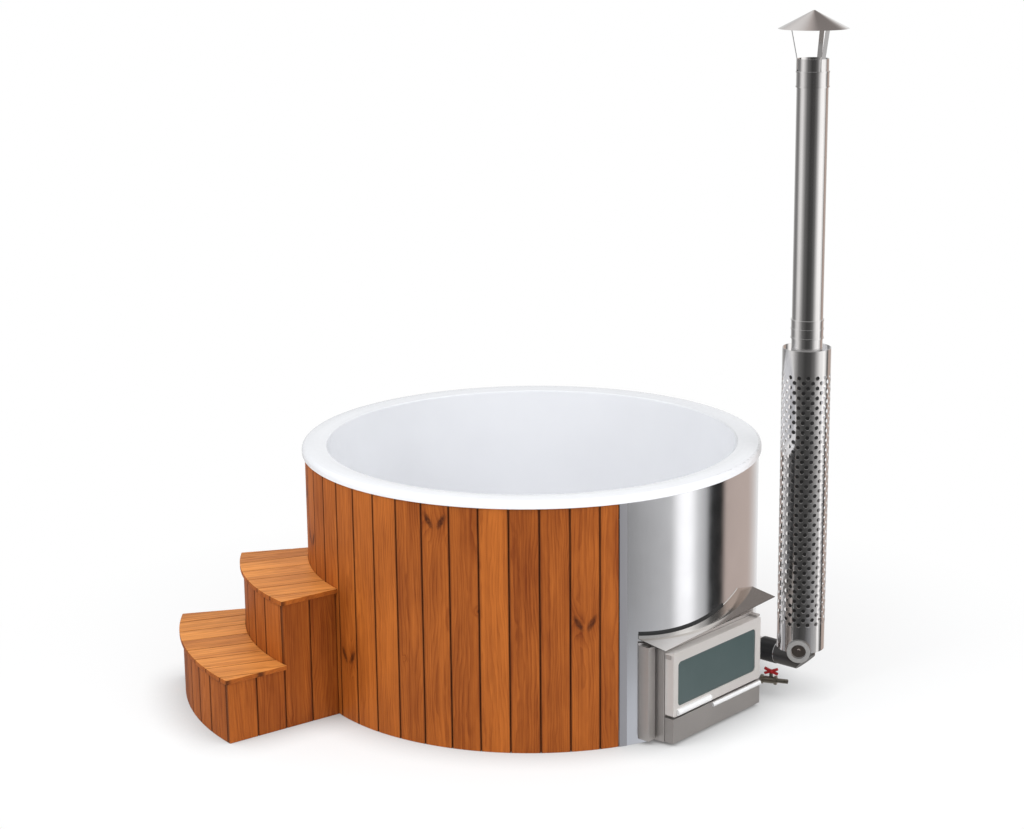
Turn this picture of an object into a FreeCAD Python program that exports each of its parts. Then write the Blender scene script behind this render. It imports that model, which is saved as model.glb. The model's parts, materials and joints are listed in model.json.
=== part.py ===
# Round wood-fired hot tub: a white moulded basin in a board-clad wall, a stove under the bench behind
# a steel panel, a chimney beside it, a drain valve, and a curved block of two steps.
# The origin is on the floor under the tub's centre, +X points out of the stove's door and +Z is up.
import FreeCAD, Part
import math
import os
import re

from FreeCAD import Placement, Rotation, Vector

# Driving sizes: millimetres, and degrees where the name ends in angle.
SIZES = {
    # wall of the tub
    "tub_radius": 988.0,
    "wall_height": 1036.0,
    "board_thickness": 22.0,
    "board_gap": 4.0,
    "board_tongue": 10.0,
    "wood_end_angle": -28.3,
    "cut_board_angle": 4.77,
    "board_angle": 7.08,
    "hoop_thickness": 25.7,
    "hoop_height": 60.0,
    "hoop_bottom_level": 50.0,
    "hoop_middle_level": 540.0,
    "hoop_top_drop": 71.0,
    "stud_depth": 34.0,
    "stud_width": 70.0,
    "panel_thickness": 1.5,
    "trim_angle": 1.9,
    "trim_thickness": 2.0,
    # basin
    "rim_overhang": 12.0,
    "rim_rise": 26.0,
    "rim_crown_rise": 34.0,
    "rim_lap": 6.0,
    "rim_lip_thickness": 10.0,
    "rim_under_drop": 14.0,
    "rim_width": 108.0,
    "rim_crown_inset": 50.0,
    "basin_wall": 8.0,
    "basin_draft": 24.0,
    "bench_level": 480.0,
    "bench_fall": 4.0,
    "well_stove_gap": 50.0,
    "well_taper": 24.0,
    "lip_round": 4.0,
    "rim_round": 18.0,
    "crown_round": 150.0,
    "rim_inner_round": 8.0,
    "bench_round": 40.0,
    "seat_edge_round": 35.0,
    "well_round": 45.0,
    # base
    "joist_height": 45.0,
    "joist_width": 95.0,
    "joist_spacing": 225.0,
    "joist_end_gap": 10.0,
    # stove body
    "stove_centre": -32.0,
    "stove_width": 612.0,
    "stove_bottom": 12.0,
    "stove_height": 401.0,
    "stove_depth": 408.0,
    "stove_reach": 10.0,
    "plate_thickness": 8.0,
    "jacket_wall": 3.0,
    "water_gap": 25.0,
    "firebox_wall": 4.0,
    "window_margin": 2.0,
    "ledge_width": 14.0,
    "ledge_rise": 74.0,
    "ledge_thickness": 4.0,
    "grate_thickness": 12.0,
    "grate_border": 20.0,
    "grate_bar": 14.0,
    "foot_radius": 22.0,
    "foot_inset": 60.0,
    # side posts and canopy
    "post_width": 54.0,
    "post_set_back": 38.0,
    "post_bottom": 20.0,
    "post_rise": 9.0,
    "post_wall": 2.0,
    "post_groove_width": 10.0,
    "post_groove_depth": 22.0,
    "canopy_rise": 11.5,
    "canopy_reach": 2.0,
    "canopy_pitch_angle": 22.2,
    "canopy_roll_angle": 1.43,
    "canopy_half_angle": 23.4,
    "canopy_left_lap": 10.0,
    "canopy_left_reach": 11.0,
    "canopy_right_lap": 159.0,
    "canopy_thickness": 2.0,
    "canopy_flange": 40.5,
    "flange_pitch_angle": 40.0,
    "flange_roll_angle": 8.0,
    "flange_end_angle": -15.7,
    "seal_height": 8.0,
    "seal_end_angle": 4.0,
    "seal_depth": 6.0,
    # door
    "front_depth": 45.0,
    "front_width": 603.0,
    "front_shift": 1.5,
    "front_gap": 9.0,
    "door_top_drop": 13.0,
    "door_skin": 3.0,
    "door_corner": 9.0,
    "window_left_margin": 31.0,
    "window_right_margin": 38.0,
    "window_bottom_margin": 41.0,
    "window_top_margin": 43.0,
    "window_corner": 18.0,
    "glass_lap": 12.0,
    "glass_thickness": 4.0,
    "retainer_depth": 6.0,
    "gasket_width": 12.0,
    "gasket_depth": 10.0,
    "handle_radius": 14.0,
    "door_handle_inset": 23.0,
    "door_handle_length": 224.0,
    "door_handle_rise": 16.0,
    "door_gap": 2.0,
    "hinge_inset": 8.0,
    "hinge_stand_off": 24.0,
    "hinge_gap": 1.0,
    "hinge_pin_radius": 4.0,
    "hinge_pin_reach": 12.0,
    "bracket_thickness": 7.0,
    "bracket_width": 24.0,
    "bracket_reach": 14.0,
    "catch_height": 17.0,
    "catch_length": 26.0,
    "catch_depth": 4.0,
    # ash drawer
    "drawer_front_bottom": 14.0,
    "drawer_front_height": 104.0,
    "drawer_skin": 2.0,
    "drawer_depth": 340.0,
    "drawer_height": 66.0,
    "drawer_handle_radius": 10.0,
    "drawer_handle_length": 335.0,
    "drawer_handle_drop": 13.0,
    # flue and chimney
    "flue_offset": 269.0,
    "flue_level": 142.0,
    "flue_radius": 48.0,
    "sheet_wall": 2.0,
    "smoke_box_set_back": 14.0,
    "smoke_box_depth": 96.0,
    "smoke_box_margin": 6.0,
    "neck_margin": 16.0,
    "neck_height": 46.0,
    "flue_lap": 10.0,
    "flue_sleeve_length": 80.0,
    "flue_sleeve_gap": 4.0,
    "flue_sleeve_wall": 4.0,
    "chimney_stand_off": 73.0,
    "chimney_radius": 65.0,
    "elbow_reach": 109.0,
    "elbow_socket": 48.0,
    "elbow_rise": 120.0,
    "elbow_shoulder_rise": 30.0,
    "elbow_cut_inset": 10.5,
    "elbow_cut_angle": 45.0,
    "port_angle": -60.0,
    "port_rise": 66.0,
    "port_radius": 50.0,
    "port_bore": 32.0,
    "port_stand_off": 12.0,
    "plug_recess": 22.0,
    "plug_length": 24.0,
    "plug_knob_radius": 7.0,
    "plug_knob_length": 12.0,
    "guard_gap": 35.0,
    "guard_bottom_rise": 54.0,
    "guard_height": 1323.0,
    "spacer_height": 20.0,
    "spacer_width": 14.0,
    "spacer_inset": 130.0,
    "coupling_level": 1600.0,
    "coupling_half": 40.0,
    "bead_height": 5.0,
    "bead_depth": 2.0,
    "chimney_top": 2715.0,
    "adapter_length": 115.0,
    "cap_radius": 145.0,
    "cap_gap": 120.0,
    "cap_height": 73.0,
    "cap_tip_radius": 4.0,
    "strap_width": 20.0,
    "strap_foot": 50.0,
    "strap_spread": 29.0,
    "strap_start_angle": 221.7,
    # water pipes
    "water_pipe_radius": 25.0,
    "water_pipe_low_rise": 178.0,
    "water_pipe_spacing": 140.0,
    "water_pipe_inset": 5.0,
    "clamp_width": 12.0,
    "grille_radius": 42.0,
    "grille_thickness": 8.0,
    "grille_slot": 7.0,
    # drain
    "drain_angle": 21.7,
    "drain_rise": 15.0,
    "drain_radius": 13.0,
    "drain_side_gap": 28.0,
    "drain_bend": 80.0,
    "valve_stand_off": 52.0,
    "valve_length": 72.0,
    "valve_radius": 17.0,
    "valve_nut": 12.0,
    "stem_set_back": 46.0,
    "stem_radius": 5.0,
    "stem_rise": 44.0,
    "gland_wall": 3.0,
    "gland_drop": 5.0,
    "tail_length": 48.0,
    "tail_radius": 9.5,
    "lever_length": 27.0,
    "lever_width": 11.0,
    "lever_thickness": 10.0,
    "lever_rise_angle": 22.0,
    "lever_hub": 9.0,
    # steps
    "step_shift": 221.7,
    "step_shift_angle": -130.3,
    "step_upper_reach": 61.5,
    "step_going": 273.5,
    "step_upper_top": 562.0,
    "step_lower_top": 282.0,
    "tread_thickness": 20.0,
    "tread_overhang": 15.0,
    "step_board": 18.0,
    "step_board_pitch": 122.0,
    "step_board_gap": 3.0,
    "tread_board_gap": 1.2,
    "tread_board_angle": -119.0,
    "step_front_angle": -101.5,
    "step_front_offset": -38.0,
    "step_back_angle": -125.4,
    "step_upper_back_offset": 225.0,
    "step_lower_back_offset": 284.0,
    "step_rail": 30.0,
    # fits
    "clearance": 0.3,
    "running_clearance": 0.05,
    "hole_clearance": 2.0,
    "overrun": 20.0,
}

# Places and sizes that follow from the driving ones
PLACES = {
    # wall and basin
    "board_inner": "tub_radius - board_thickness",
    "hoop_outer": "board_inner - clearance",
    "hoop_inner": "hoop_outer - hoop_thickness",
    "hoop_top_level": "wall_height - hoop_top_drop",
    "panel_inner": "tub_radius - panel_thickness",
    "rim_radius": "tub_radius + rim_overhang",
    "rim_top": "wall_height + rim_crown_rise",
    "rim_edge_level": "wall_height + rim_rise",
    "rim_lip_level": "wall_height - rim_lap",
    "under_rim": "rim_edge_level - rim_under_drop",
    "rim_crown_radius": "rim_radius - rim_crown_inset",
    "rim_inner_radius": "rim_radius - rim_width",
    "bench_outer_radius": "rim_inner_radius - basin_draft",
    "well_floor": "joist_height + basin_wall",
    "stud_face": "sqrt(hoop_inner * hoop_inner - stud_width * stud_width / 4) - clearance",
    "joist_reach": "stud_face - stud_depth - joist_end_gap",
    # stove
    "stove_front": "tub_radius + stove_reach",
    "stove_back": "stove_front - stove_depth",
    "well_top_radius": "stove_back - well_stove_gap",
    "well_floor_radius": "well_top_radius - well_taper",
    "stove_top": "stove_bottom + stove_height",
    "stove_left": "stove_centre - stove_width / 2",
    "stove_right": "stove_centre + stove_width / 2",
    "plate_back": "stove_front - plate_thickness",
    "fire_inset": "jacket_wall + water_gap",
    "fire_back": "stove_back + fire_inset",
    "fire_left": "stove_left + fire_inset",
    "fire_right": "stove_right - fire_inset",
    "fire_floor": "stove_bottom + fire_inset + firebox_wall",
    "fire_roof": "stove_top - fire_inset - firebox_wall",
    "ledge_level": "fire_floor + ledge_rise",
    "grate_level": "ledge_level + ledge_thickness",
    "grate_top": "grate_level + grate_thickness",
    "post_front": "stove_front - post_set_back",
    "post_top": "stove_top + post_rise",
    "canopy_level": "stove_top + canopy_rise",
    "canopy_front": "stove_front + canopy_reach",
    "canopy_left_front": "stove_left - canopy_left_lap",
    "canopy_right_front": "stove_right + canopy_right_lap",
    # door and drawer
    "front_seat": "stove_front + clearance",
    "gasket_seat": "stove_front + 2 * clearance",
    "door_seat": "stove_front + door_gap",
    "front_face": "stove_front + front_depth",
    "front_left": "stove_centre - front_shift - front_width / 2",
    "front_right": "stove_centre - front_shift + front_width / 2",
    "drawer_front_top": "drawer_front_bottom + drawer_front_height",
    "door_bottom": "drawer_front_top + front_gap",
    "door_top": "stove_top - door_top_drop",
    "window_left": "front_left + window_left_margin",
    "window_right": "front_right - window_right_margin",
    "window_bottom": "door_bottom + window_bottom_margin",
    "window_top": "door_top - window_top_margin",
    "glass_front": "front_face - door_skin - clearance",
    "glass_back": "glass_front - glass_thickness",
    "door_handle_left": "front_left + door_handle_inset",
    "door_handle_right": "door_handle_left + door_handle_length",
    "door_handle_level": "door_bottom + door_handle_rise",
    "hinge_out": "stove_front + hinge_stand_off",
    "hinge_side": "front_right - hinge_inset",
    "drawer_back": "plate_back - drawer_depth",
    "drawer_floor": "fire_floor + clearance",
    "drawer_top": "drawer_floor + drawer_height",
    "drawer_handle_right": "front_right - door_skin",
    "drawer_handle_left": "drawer_handle_right - drawer_handle_length",
    "drawer_handle_level": "drawer_front_top - drawer_handle_drop",
    # flue and chimney
    "flue_side": "stove_right + flue_offset",
    "chimney_out": "tub_radius + chimney_stand_off",
    "smoke_box_back": "stove_back + smoke_box_set_back",
    "smoke_box_front": "smoke_box_back + smoke_box_depth",
    "smoke_box_end": "flue_side + flue_radius + smoke_box_margin",
    "smoke_box_bottom": "flue_level - flue_radius - smoke_box_margin",
    "smoke_box_top": "flue_level + flue_radius + smoke_box_margin",
    "neck_bottom": "grate_top",
    "neck_top": "neck_bottom + neck_height",
    "flue_start": "smoke_box_front - flue_lap",
    "elbow_start": "chimney_out - elbow_reach",
    "flue_end": "elbow_start + elbow_socket",
    "flue_sleeve_end": "elbow_start - flue_sleeve_gap",
    "flue_sleeve_start": "flue_sleeve_end - flue_sleeve_length",
    "elbow_bottom": "flue_level - flue_radius - clearance - sheet_wall",
    "elbow_top": "flue_level + elbow_rise",
    "elbow_shoulder": "flue_level + elbow_shoulder_rise",
    "elbow_cut_start": "chimney_out - elbow_cut_inset",
    "port_level": "flue_level + port_rise",
    "guard_radius": "chimney_radius + guard_gap + sheet_wall",
    "port_reach": "guard_radius + port_stand_off",
    "plug_face": "port_reach - plug_recess",
    "guard_bottom": "flue_level + guard_bottom_rise",
    "guard_top": "guard_bottom + guard_height",
    "sleeve_bore": "chimney_radius + clearance",
    "sleeve_outside": "sleeve_bore + sheet_wall",
    "adapter_start": "chimney_top - adapter_length",
    "adapter_end": "chimney_top - strap_foot - clearance",
    "cap_rim": "chimney_top + cap_gap",
    "cap_apex": "cap_rim + cap_height",
    "strap_reach": "sleeve_outside + strap_spread",
    # water pipes and drain
    "water_pipe_low": "stove_bottom + water_pipe_low_rise",
    "water_pipe_high": "water_pipe_low + water_pipe_spacing",
    "water_pipe_end": "well_floor_radius - water_pipe_inset",
    "drain_level": "well_floor + drain_rise",
    "drain_line": "stove_right + drain_side_gap",
    "drain_well_reach": "well_floor_radius - 2 * basin_wall",
    "drain_well_end": "sqrt(drain_well_reach * drain_well_reach - drain_line * drain_line)",
    "valve_start": "tub_radius + valve_stand_off",
    "valve_end": "valve_start + valve_length",
    "stem_reach": "valve_start + stem_set_back",
    "stem_top": "drain_level + stem_rise",
    "lever_level": "stem_top - lever_hub",
    "gland_top": "lever_level - gland_drop",
    "tail_end": "valve_end + tail_length",
    # steps
    "step_upper_radius": "tub_radius + step_upper_reach",
    "step_lower_radius": "step_upper_radius + step_going",
}

FULL_TURN = 360
FULL_BOARDS = 39
BOARD_NODES = 4
STUDS = 8
JOISTS = 5
TREAD_CUTS = 8
GRATE_BARS = 12
GRILLE_SLOTS = 5
STRAPS = 3
SPACERS = 3

doc = FreeCAD.newDocument("hot_tub")
NAMES = re.compile(r"\b(%s)\b" % "|".join(sorted([*SIZES, *PLACES], key=len, reverse=True)))
NODES = []


def fill_sheet(name, cells):
    """Spreadsheet with one named cell per row."""
    sheet = doc.addObject("Spreadsheet::Sheet", name)
    for row, (alias, content) in enumerate(cells.items(), start=1):
        sheet.set("A%d" % row, alias)
        sheet.set("B%d" % row, content)
        sheet.setAlias("B%d" % row, alias)
    doc.recompute()
    return sheet


def from_sizes(text):
    """Formula of the second sheet: its own names stay as they are."""
    return "=" + NAMES.sub(lambda name: ("Sizes." if name[0] in SIZES else "") + name[0], text)


sizes = fill_sheet("Sizes", {alias: str(value) for alias, value in SIZES.items()})
places = fill_sheet("Places", {alias: from_sizes(text) for alias, text in PLACES.items()})


def size(alias):
    """Value of one cell of the sheets."""
    return float(getattr(sizes if alias in SIZES else places, alias))


def bind(obj, expressions):
    """Tie properties to the sheets: each text is written in aliases."""
    for prop, text in expressions.items():
        linked = NAMES.sub(lambda name: ("Sizes." if name[0] in SIZES else "Places.") + name[0], text)
        obj.setExpression(prop, linked)
    return obj


def node(obj, label):
    """Name a finished piece and keep it for export."""
    obj.Label = label
    NODES.append(obj)
    return obj


def box(name, x, y, z):
    """Box between two expressions on each axis."""
    obj = doc.addObject("Part::Box", name)
    spans = {"x": ("Length", x), "y": ("Width", y), "z": ("Height", z)}
    for axis, (prop, (low, high)) in spans.items():
        bind(obj, {prop: "(%s) - (%s)" % (high, low), "Placement.Base." + axis: low})
    return obj


LIE = {
    "x": Rotation(Vector(0, 1, 0), 90),
    "y": Rotation(Vector(1, 0, 0), -90),
    "z": Rotation(),
}


def rod(name, axis, centre, span, radius):
    """Cylinder along one axis: centre gives the other two coordinates in X, Y, Z order."""
    obj = doc.addObject("Part::Cylinder", name)
    obj.Placement = Placement(Vector(), LIE[axis])
    base = dict(zip([letter for letter in "xyz" if letter != axis], centre))
    base[axis] = span[0]
    bind(obj, {"Radius": radius, "Height": "(%s) - (%s)" % (span[1], span[0])})
    for letter, text in base.items():
        bind(obj, {"Placement.Base." + letter: text})
    return obj


def cut(name, base, *tools):
    obj = doc.addObject("Part::Cut", name)
    obj.Base = base
    obj.Tool = tools[0] if len(tools) == 1 else group(name + "_tools", tools)
    return obj


def fuse(name, *parts):
    obj = doc.addObject("Part::MultiFuse", name)
    obj.Shapes = list(parts)
    return obj


def group(name, parts):
    obj = doc.addObject("Part::Compound", name)
    obj.Links = list(parts)
    return obj


def tube(name, axis, centre, span, outer, inner):
    """Pipe along one axis, open at both ends."""
    bore_span = ("(%s) - overrun" % span[0], "(%s) + overrun" % span[1])
    return cut(name, rod(name + "_outside", axis, centre, span, outer),
               rod(name + "_bore", axis, centre, bore_span, inner))


def sector(name, outer, inner, z, start, sweep):
    """Part of a ring about the tub's axis, from a start angle through a sweep."""
    whole = rod(name + "_outside", "z", ("0", "0"), z, outer)
    bind(whole, {"Angle": sweep})
    whole.Placement = Placement(whole.Placement.Base, Rotation(Vector(0, 0, 1), start))
    core = rod(name + "_core", "z", ("0", "0"), ("(%s) - overrun" % z[0], "(%s) + overrun" % z[1]), inner)
    return cut(name, whole, core)


def rounded_plate(name, x, y, z, corner):
    """Plate across X with four rounded corners."""
    inset_y = ("(%s) + %s" % (y[0], corner), "(%s) - %s" % (y[1], corner))
    inset_z = ("(%s) + %s" % (z[0], corner), "(%s) - %s" % (z[1], corner))
    parts = [box(name + "_wide", x, y, inset_z), box(name + "_tall", x, inset_y, z)]
    for side in inset_y:
        for level in inset_z:
            parts.append(rod("%s_corner_%d" % (name, len(parts)), "x", (side, level), x, corner))
    return fuse(name, *parts)


def feature(name, shape):
    """A shape that no primitive gives, already worked out from the sheet."""
    obj = doc.addObject("Part::Feature", name)
    obj.Shape = shape
    return obj


def polar(radius, angle):
    return Vector(radius * math.cos(math.radians(angle)), radius * math.sin(math.radians(angle)), 0)


def rounded_outline(points):
    """Closed face in the XZ plane through (x, z, round) corners."""
    count = len(points)
    corners = [Vector(x, 0, z) for x, z, _ in points]
    stops = []
    for index, (_, _, radius) in enumerate(points):
        here = corners[index]
        back = (corners[index - 1] - here).normalize()
        ahead = (corners[(index + 1) % count] - here).normalize()
        if not radius:
            stops.append((here, None, here))
            continue
        half = back.getAngle(ahead) / 2
        reach = radius / math.tan(half)
        centre_line = (back + ahead).normalize()
        middle = here + centre_line * (radius / math.sin(half) - radius)
        stops.append((here + back * reach, middle, here + ahead * reach))
    edges = []
    for index, (start, middle, end) in enumerate(stops):
        if middle is not None:
            edges.append(Part.Arc(start, middle, end).toShape())
        following = stops[(index + 1) % count][0]
        if (following - end).Length > 0:
            edges.append(Part.LineSegment(end, following).toShape())
    return Part.Face(Part.Wire(edges))


CHIMNEY = ("chimney_out", "flue_side")
FLUE = ("flue_side", "flue_level")
PANEL_SWEEP = FULL_TURN - size("cut_board_angle") - FULL_BOARDS * size("board_angle")


# Basin: one moulded shell with a domed rim, a bench ring and a foot well
def basin_outline():
    wall = size("basin_wall")
    floor = size("well_floor")
    seat = size("bench_level")
    seat_edge = seat - size("bench_fall")
    rim = size("rim_radius")
    lip_inside = rim - size("rim_lip_thickness")
    under_rim = size("under_rim")
    return [
        (lip_inside, size("rim_lip_level"), 0),
        (rim, size("rim_lip_level"), size("lip_round")),
        (rim, size("rim_edge_level"), size("rim_round")),
        (size("rim_crown_radius"), size("rim_top"), size("crown_round")),
        (size("rim_inner_radius"), size("rim_edge_level"), size("rim_inner_round")),
        (size("bench_outer_radius"), seat, size("bench_round")),
        (size("well_top_radius"), seat_edge, size("seat_edge_round")),
        (size("well_floor_radius"), floor, size("well_round")),
        (0, floor, 0),
        (0, size("joist_height"), 0),
        (size("well_floor_radius") + wall, size("joist_height"), size("well_round") + wall),
        (size("well_top_radius") + wall, seat_edge - wall, size("seat_edge_round") - wall),
        (size("bench_outer_radius") + wall, seat - wall, size("bench_round") + wall),
        (size("rim_inner_radius") + wall, under_rim, size("lip_round")),
        (lip_inside, under_rim, 0),
    ]


UP = Vector(0, 0, 1)
basin_blank = feature("basin_blank", rounded_outline(basin_outline()).revolve(Vector(), UP, FULL_TURN))
water_holes = [
    rod("basin_hole_" + name, "x", ("stove_centre", level),
        ("water_pipe_end - overrun", "stove_back"), "water_pipe_radius + clearance")
    for name, level in (("low", "water_pipe_low"), ("high", "water_pipe_high"))
]
drain_hole = rod("basin_hole_drain", "x", ("drain_line", "drain_level"),
                 ("drain_well_end - overrun", "stove_back"), "drain_radius + clearance")
node(cut("basin_cut", basin_blank, *water_holes, drain_hole), "basin_shell")

# Base joists under the foot well: the middle one carries the origin
joists = []
for index in range(JOISTS):
    place = "(%d * joist_spacing)" % (index - JOISTS // 2)
    edge = "(%d * joist_spacing + joist_width / 2)" % abs(index - JOISTS // 2)
    reach = "sqrt(joist_reach * joist_reach - %s * %s)" % (edge, edge)
    joists.append(box("joist_%d" % index, (place + " - joist_width / 2", place + " + joist_width / 2"),
                      ("0 - " + reach, reach), ("0", "joist_height")))
node(joists.pop(JOISTS // 2), "base_joist_centre")
node(group("joist_group", joists), "base_joists")

# Hoops that the boards are fixed to, and studs that carry the rim
wood_start = size("wood_end_angle") + PANEL_SWEEP
node(sector("hoop_low_ring", "hoop_outer", "hoop_inner",
            ("hoop_bottom_level", "hoop_bottom_level + hoop_height"),
            wood_start, "%.9g" % (FULL_TURN - PANEL_SWEEP)), "bottom_hoop")
for label, level in (("middle_hoop", "hoop_middle_level"), ("top_hoop", "hoop_top_level")):
    node(tube(label + "_ring", "z", ("0", "0"), (level, level + " + hoop_height"),
              "hoop_outer", "hoop_inner"), label)

studs = []
for index in range(STUDS):
    stud = Part.makeBox(size("stud_depth"), size("stud_width"), size("under_rim"),
                        Vector(size("stud_face") - size("stud_depth"), -size("stud_width") / 2, 0))
    stud.rotate(Vector(), UP, wood_start + (index + 0.5) * (FULL_TURN - PANEL_SWEEP) / STUDS)
    studs.append(feature("stud_%d" % index, stud))
node(group("stud_group", studs), "wall_studs")

# Cladding boards: a cut board beside the panel, then full boards round to the panel's other edge.
# The faces leave an open joint and the tongues behind them close it.
board_gap_angle = math.degrees(size("board_gap") / size("tub_radius"))
tongue_gap_angle = math.degrees(size("clearance") / size("board_inner"))
board_sweeps = [size("cut_board_angle")] + [size("board_angle")] * FULL_BOARDS
boards = []
edge_angle = size("wood_end_angle")
for index, sweep in enumerate(board_sweeps):
    edge_angle -= sweep
    face = sector("board_face_%d" % index, "tub_radius", "board_inner + board_tongue", ("0", "wall_height"),
                  edge_angle + board_gap_angle / 2, "%.9g" % (sweep - board_gap_angle))
    tongue = sector("board_tongue_%d" % index, "board_inner + board_tongue", "board_inner",
                    ("0", "wall_height"), edge_angle + tongue_gap_angle / 2,
                    "%.9g" % (sweep - tongue_gap_angle))
    boards.append(fuse("board_%d" % index, face, tongue))
per_node = len(boards) // BOARD_NODES
for index in range(BOARD_NODES):
    node(group("board_group_%d" % index, boards[index * per_node:(index + 1) * per_node]),
         "cladding_boards_%d" % (index + 1))

# Steel panel, its backing battens and its edge trims
panel_sheet = sector("panel_sheet", "tub_radius", "panel_inner", ("0", "wall_height"),
                     size("wood_end_angle"), "%.9g" % PANEL_SWEEP)
stove_hole = box("panel_stove_hole", ("0", "tub_radius + overrun"),
                 ("stove_left - hole_clearance", "stove_right + hole_clearance"),
                 ("0 - overrun", "stove_top + hole_clearance"))
flue_hole = rod("panel_flue_hole", "x", FLUE, ("0", "tub_radius + overrun"),
                "flue_radius + flue_sleeve_wall + hole_clearance")
drain_exit = Part.makeCylinder(size("drain_radius") + size("hole_clearance"), size("valve_start"),
                               Vector(0, 0, size("drain_level")), polar(1, size("drain_angle")))
drain_exit_hole = feature("panel_drain_hole", drain_exit)
node(cut("panel_cut", panel_sheet, stove_hole, flue_hole, drain_exit_hole), "stove_panel")
panel_battens = [
    sector("batten_" + level, "panel_inner - clearance", "hoop_outer + clearance",
           (level, level + " + hoop_height"), size("wood_end_angle"), "%.9g" % PANEL_SWEEP)
    for level in ("hoop_middle_level", "hoop_top_level")
]
node(group("batten_group", panel_battens), "panel_battens")
panel_trims = [
    sector(name, "tub_radius + clearance + trim_thickness", "tub_radius + clearance",
           ("0", "rim_lip_level - clearance"), start, "trim_angle")
    for name, start in (("trim_left", size("wood_end_angle")),
                        ("trim_right", size("wood_end_angle") + PANEL_SWEEP - size("trim_angle")))
]
node(group("trim_group", panel_trims), "panel_trims")

# Stove: an outer water jacket round a firebox, closed by a front plate
STOVE_Y = ("stove_left", "stove_right")
jacket_block = box("jacket_block", ("stove_back", "plate_back"), STOVE_Y, ("stove_bottom", "stove_top"))
jacket_room = box("jacket_room", ("stove_back + jacket_wall", "stove_front"),
                  ("stove_left + jacket_wall", "stove_right - jacket_wall"),
                  ("stove_bottom + jacket_wall", "stove_top - jacket_wall"))
NECK_X = ("smoke_box_back + neck_margin", "smoke_box_front - neck_margin")
NECK_Z = ("neck_bottom", "neck_top")


def neck_block(name, y, grow):
    """Block of the smoke neck's outside, grown all round."""
    x = ("%s - %s" % (NECK_X[0], grow), "%s + %s" % (NECK_X[1], grow))
    z = ("%s - %s" % (NECK_Z[0], grow), "%s + %s" % (NECK_Z[1], grow))
    return box(name, x, y, z)


JACKET_SIDE = ("stove_right - overrun", "stove_right + overrun")
jacket_neck = neck_block("jacket_neck_hole", JACKET_SIDE, "clearance")
jacket_pipe_holes = [
    rod("jacket_hole_" + name, "x", ("stove_centre", level),
        ("stove_back - overrun", "stove_back + overrun"), "water_pipe_radius - sheet_wall")
    for name, level in (("low", "water_pipe_low"), ("high", "water_pipe_high"))
]
node(cut("jacket_cut", jacket_block, jacket_room, jacket_neck, *jacket_pipe_holes), "water_jacket")

fire_block = box("fire_block", ("fire_back", "plate_back"), ("fire_left", "fire_right"),
                 ("stove_bottom + fire_inset", "stove_top - fire_inset"))
fire_room = box("fire_room", ("fire_back + firebox_wall", "stove_front"),
                ("fire_left + firebox_wall", "fire_right - firebox_wall"), ("fire_floor", "fire_roof"))
FIRE_SIDE = ("fire_right - overrun", "fire_right + water_gap / 2")
fire_neck = neck_block("fire_neck_hole", FIRE_SIDE, "clearance")
LEDGE_X = ("fire_back", "plate_back")
LEDGE_Z = ("ledge_level", "grate_level")
ledges = [
    box("fire_ledge_left", LEDGE_X, ("fire_left", "fire_left + firebox_wall + ledge_width"), LEDGE_Z),
    box("fire_ledge_right", LEDGE_X, ("fire_right - firebox_wall - ledge_width", "fire_right"), LEDGE_Z),
]
node(fuse("firebox_fused", cut("firebox_cut", fire_block, fire_room, fire_neck), *ledges), "firebox")

plate_block = box("plate_block", ("plate_back", "stove_front"), STOVE_Y, ("stove_bottom", "stove_top"))
PLATE_CUT_X = ("plate_back - overrun", "stove_front + overrun")
PLATE_CUT_Y = ("fire_left + firebox_wall + window_margin", "fire_right - firebox_wall - window_margin")
fire_mouth = box("plate_fire_mouth", PLATE_CUT_X, PLATE_CUT_Y,
                 ("grate_top", "fire_roof - window_margin"))
ash_mouth = box("plate_ash_mouth", PLATE_CUT_X, PLATE_CUT_Y, ("fire_floor", "ledge_level - window_margin"))
node(cut("plate_cut", plate_block, fire_mouth, ash_mouth), "stove_front_plate")

grate_x = ("fire_back + firebox_wall + clearance", "plate_back - clearance")
grate_y = ("fire_left + firebox_wall + clearance", "fire_right - firebox_wall - clearance")
grate_z = ("grate_level", "grate_top")
grate_block = box("grate_block", grate_x, grate_y, grate_z)
grate_pitch = "((%s - (%s) - 2 * grate_border + grate_bar) / %d)" % (grate_y[1], grate_y[0], GRATE_BARS)
grate_slots = []
for index in range(GRATE_BARS):
    slot_start = "%s + grate_border + %d * %s" % (grate_y[0], index, grate_pitch)
    grate_slots.append(box("grate_slot_%d" % index,
                           (grate_x[0] + " + grate_border", grate_x[1] + " - grate_border"),
                           (slot_start, slot_start + " + %s - grate_bar" % grate_pitch),
                           (grate_z[0] + " - overrun", grate_z[1] + " + overrun")))
node(cut("grate_cut", grate_block, *grate_slots), "fire_grate")

feet = []
for foot_x in ("stove_back + foot_inset", "plate_back - foot_inset"):
    for foot_y in ("stove_left + foot_inset", "stove_right - foot_inset"):
        feet.append(rod("foot_%d" % len(feet), "z", (foot_x, foot_y), ("0", "stove_bottom"), "foot_radius"))
node(group("foot_group", feet), "stove_feet")

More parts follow.
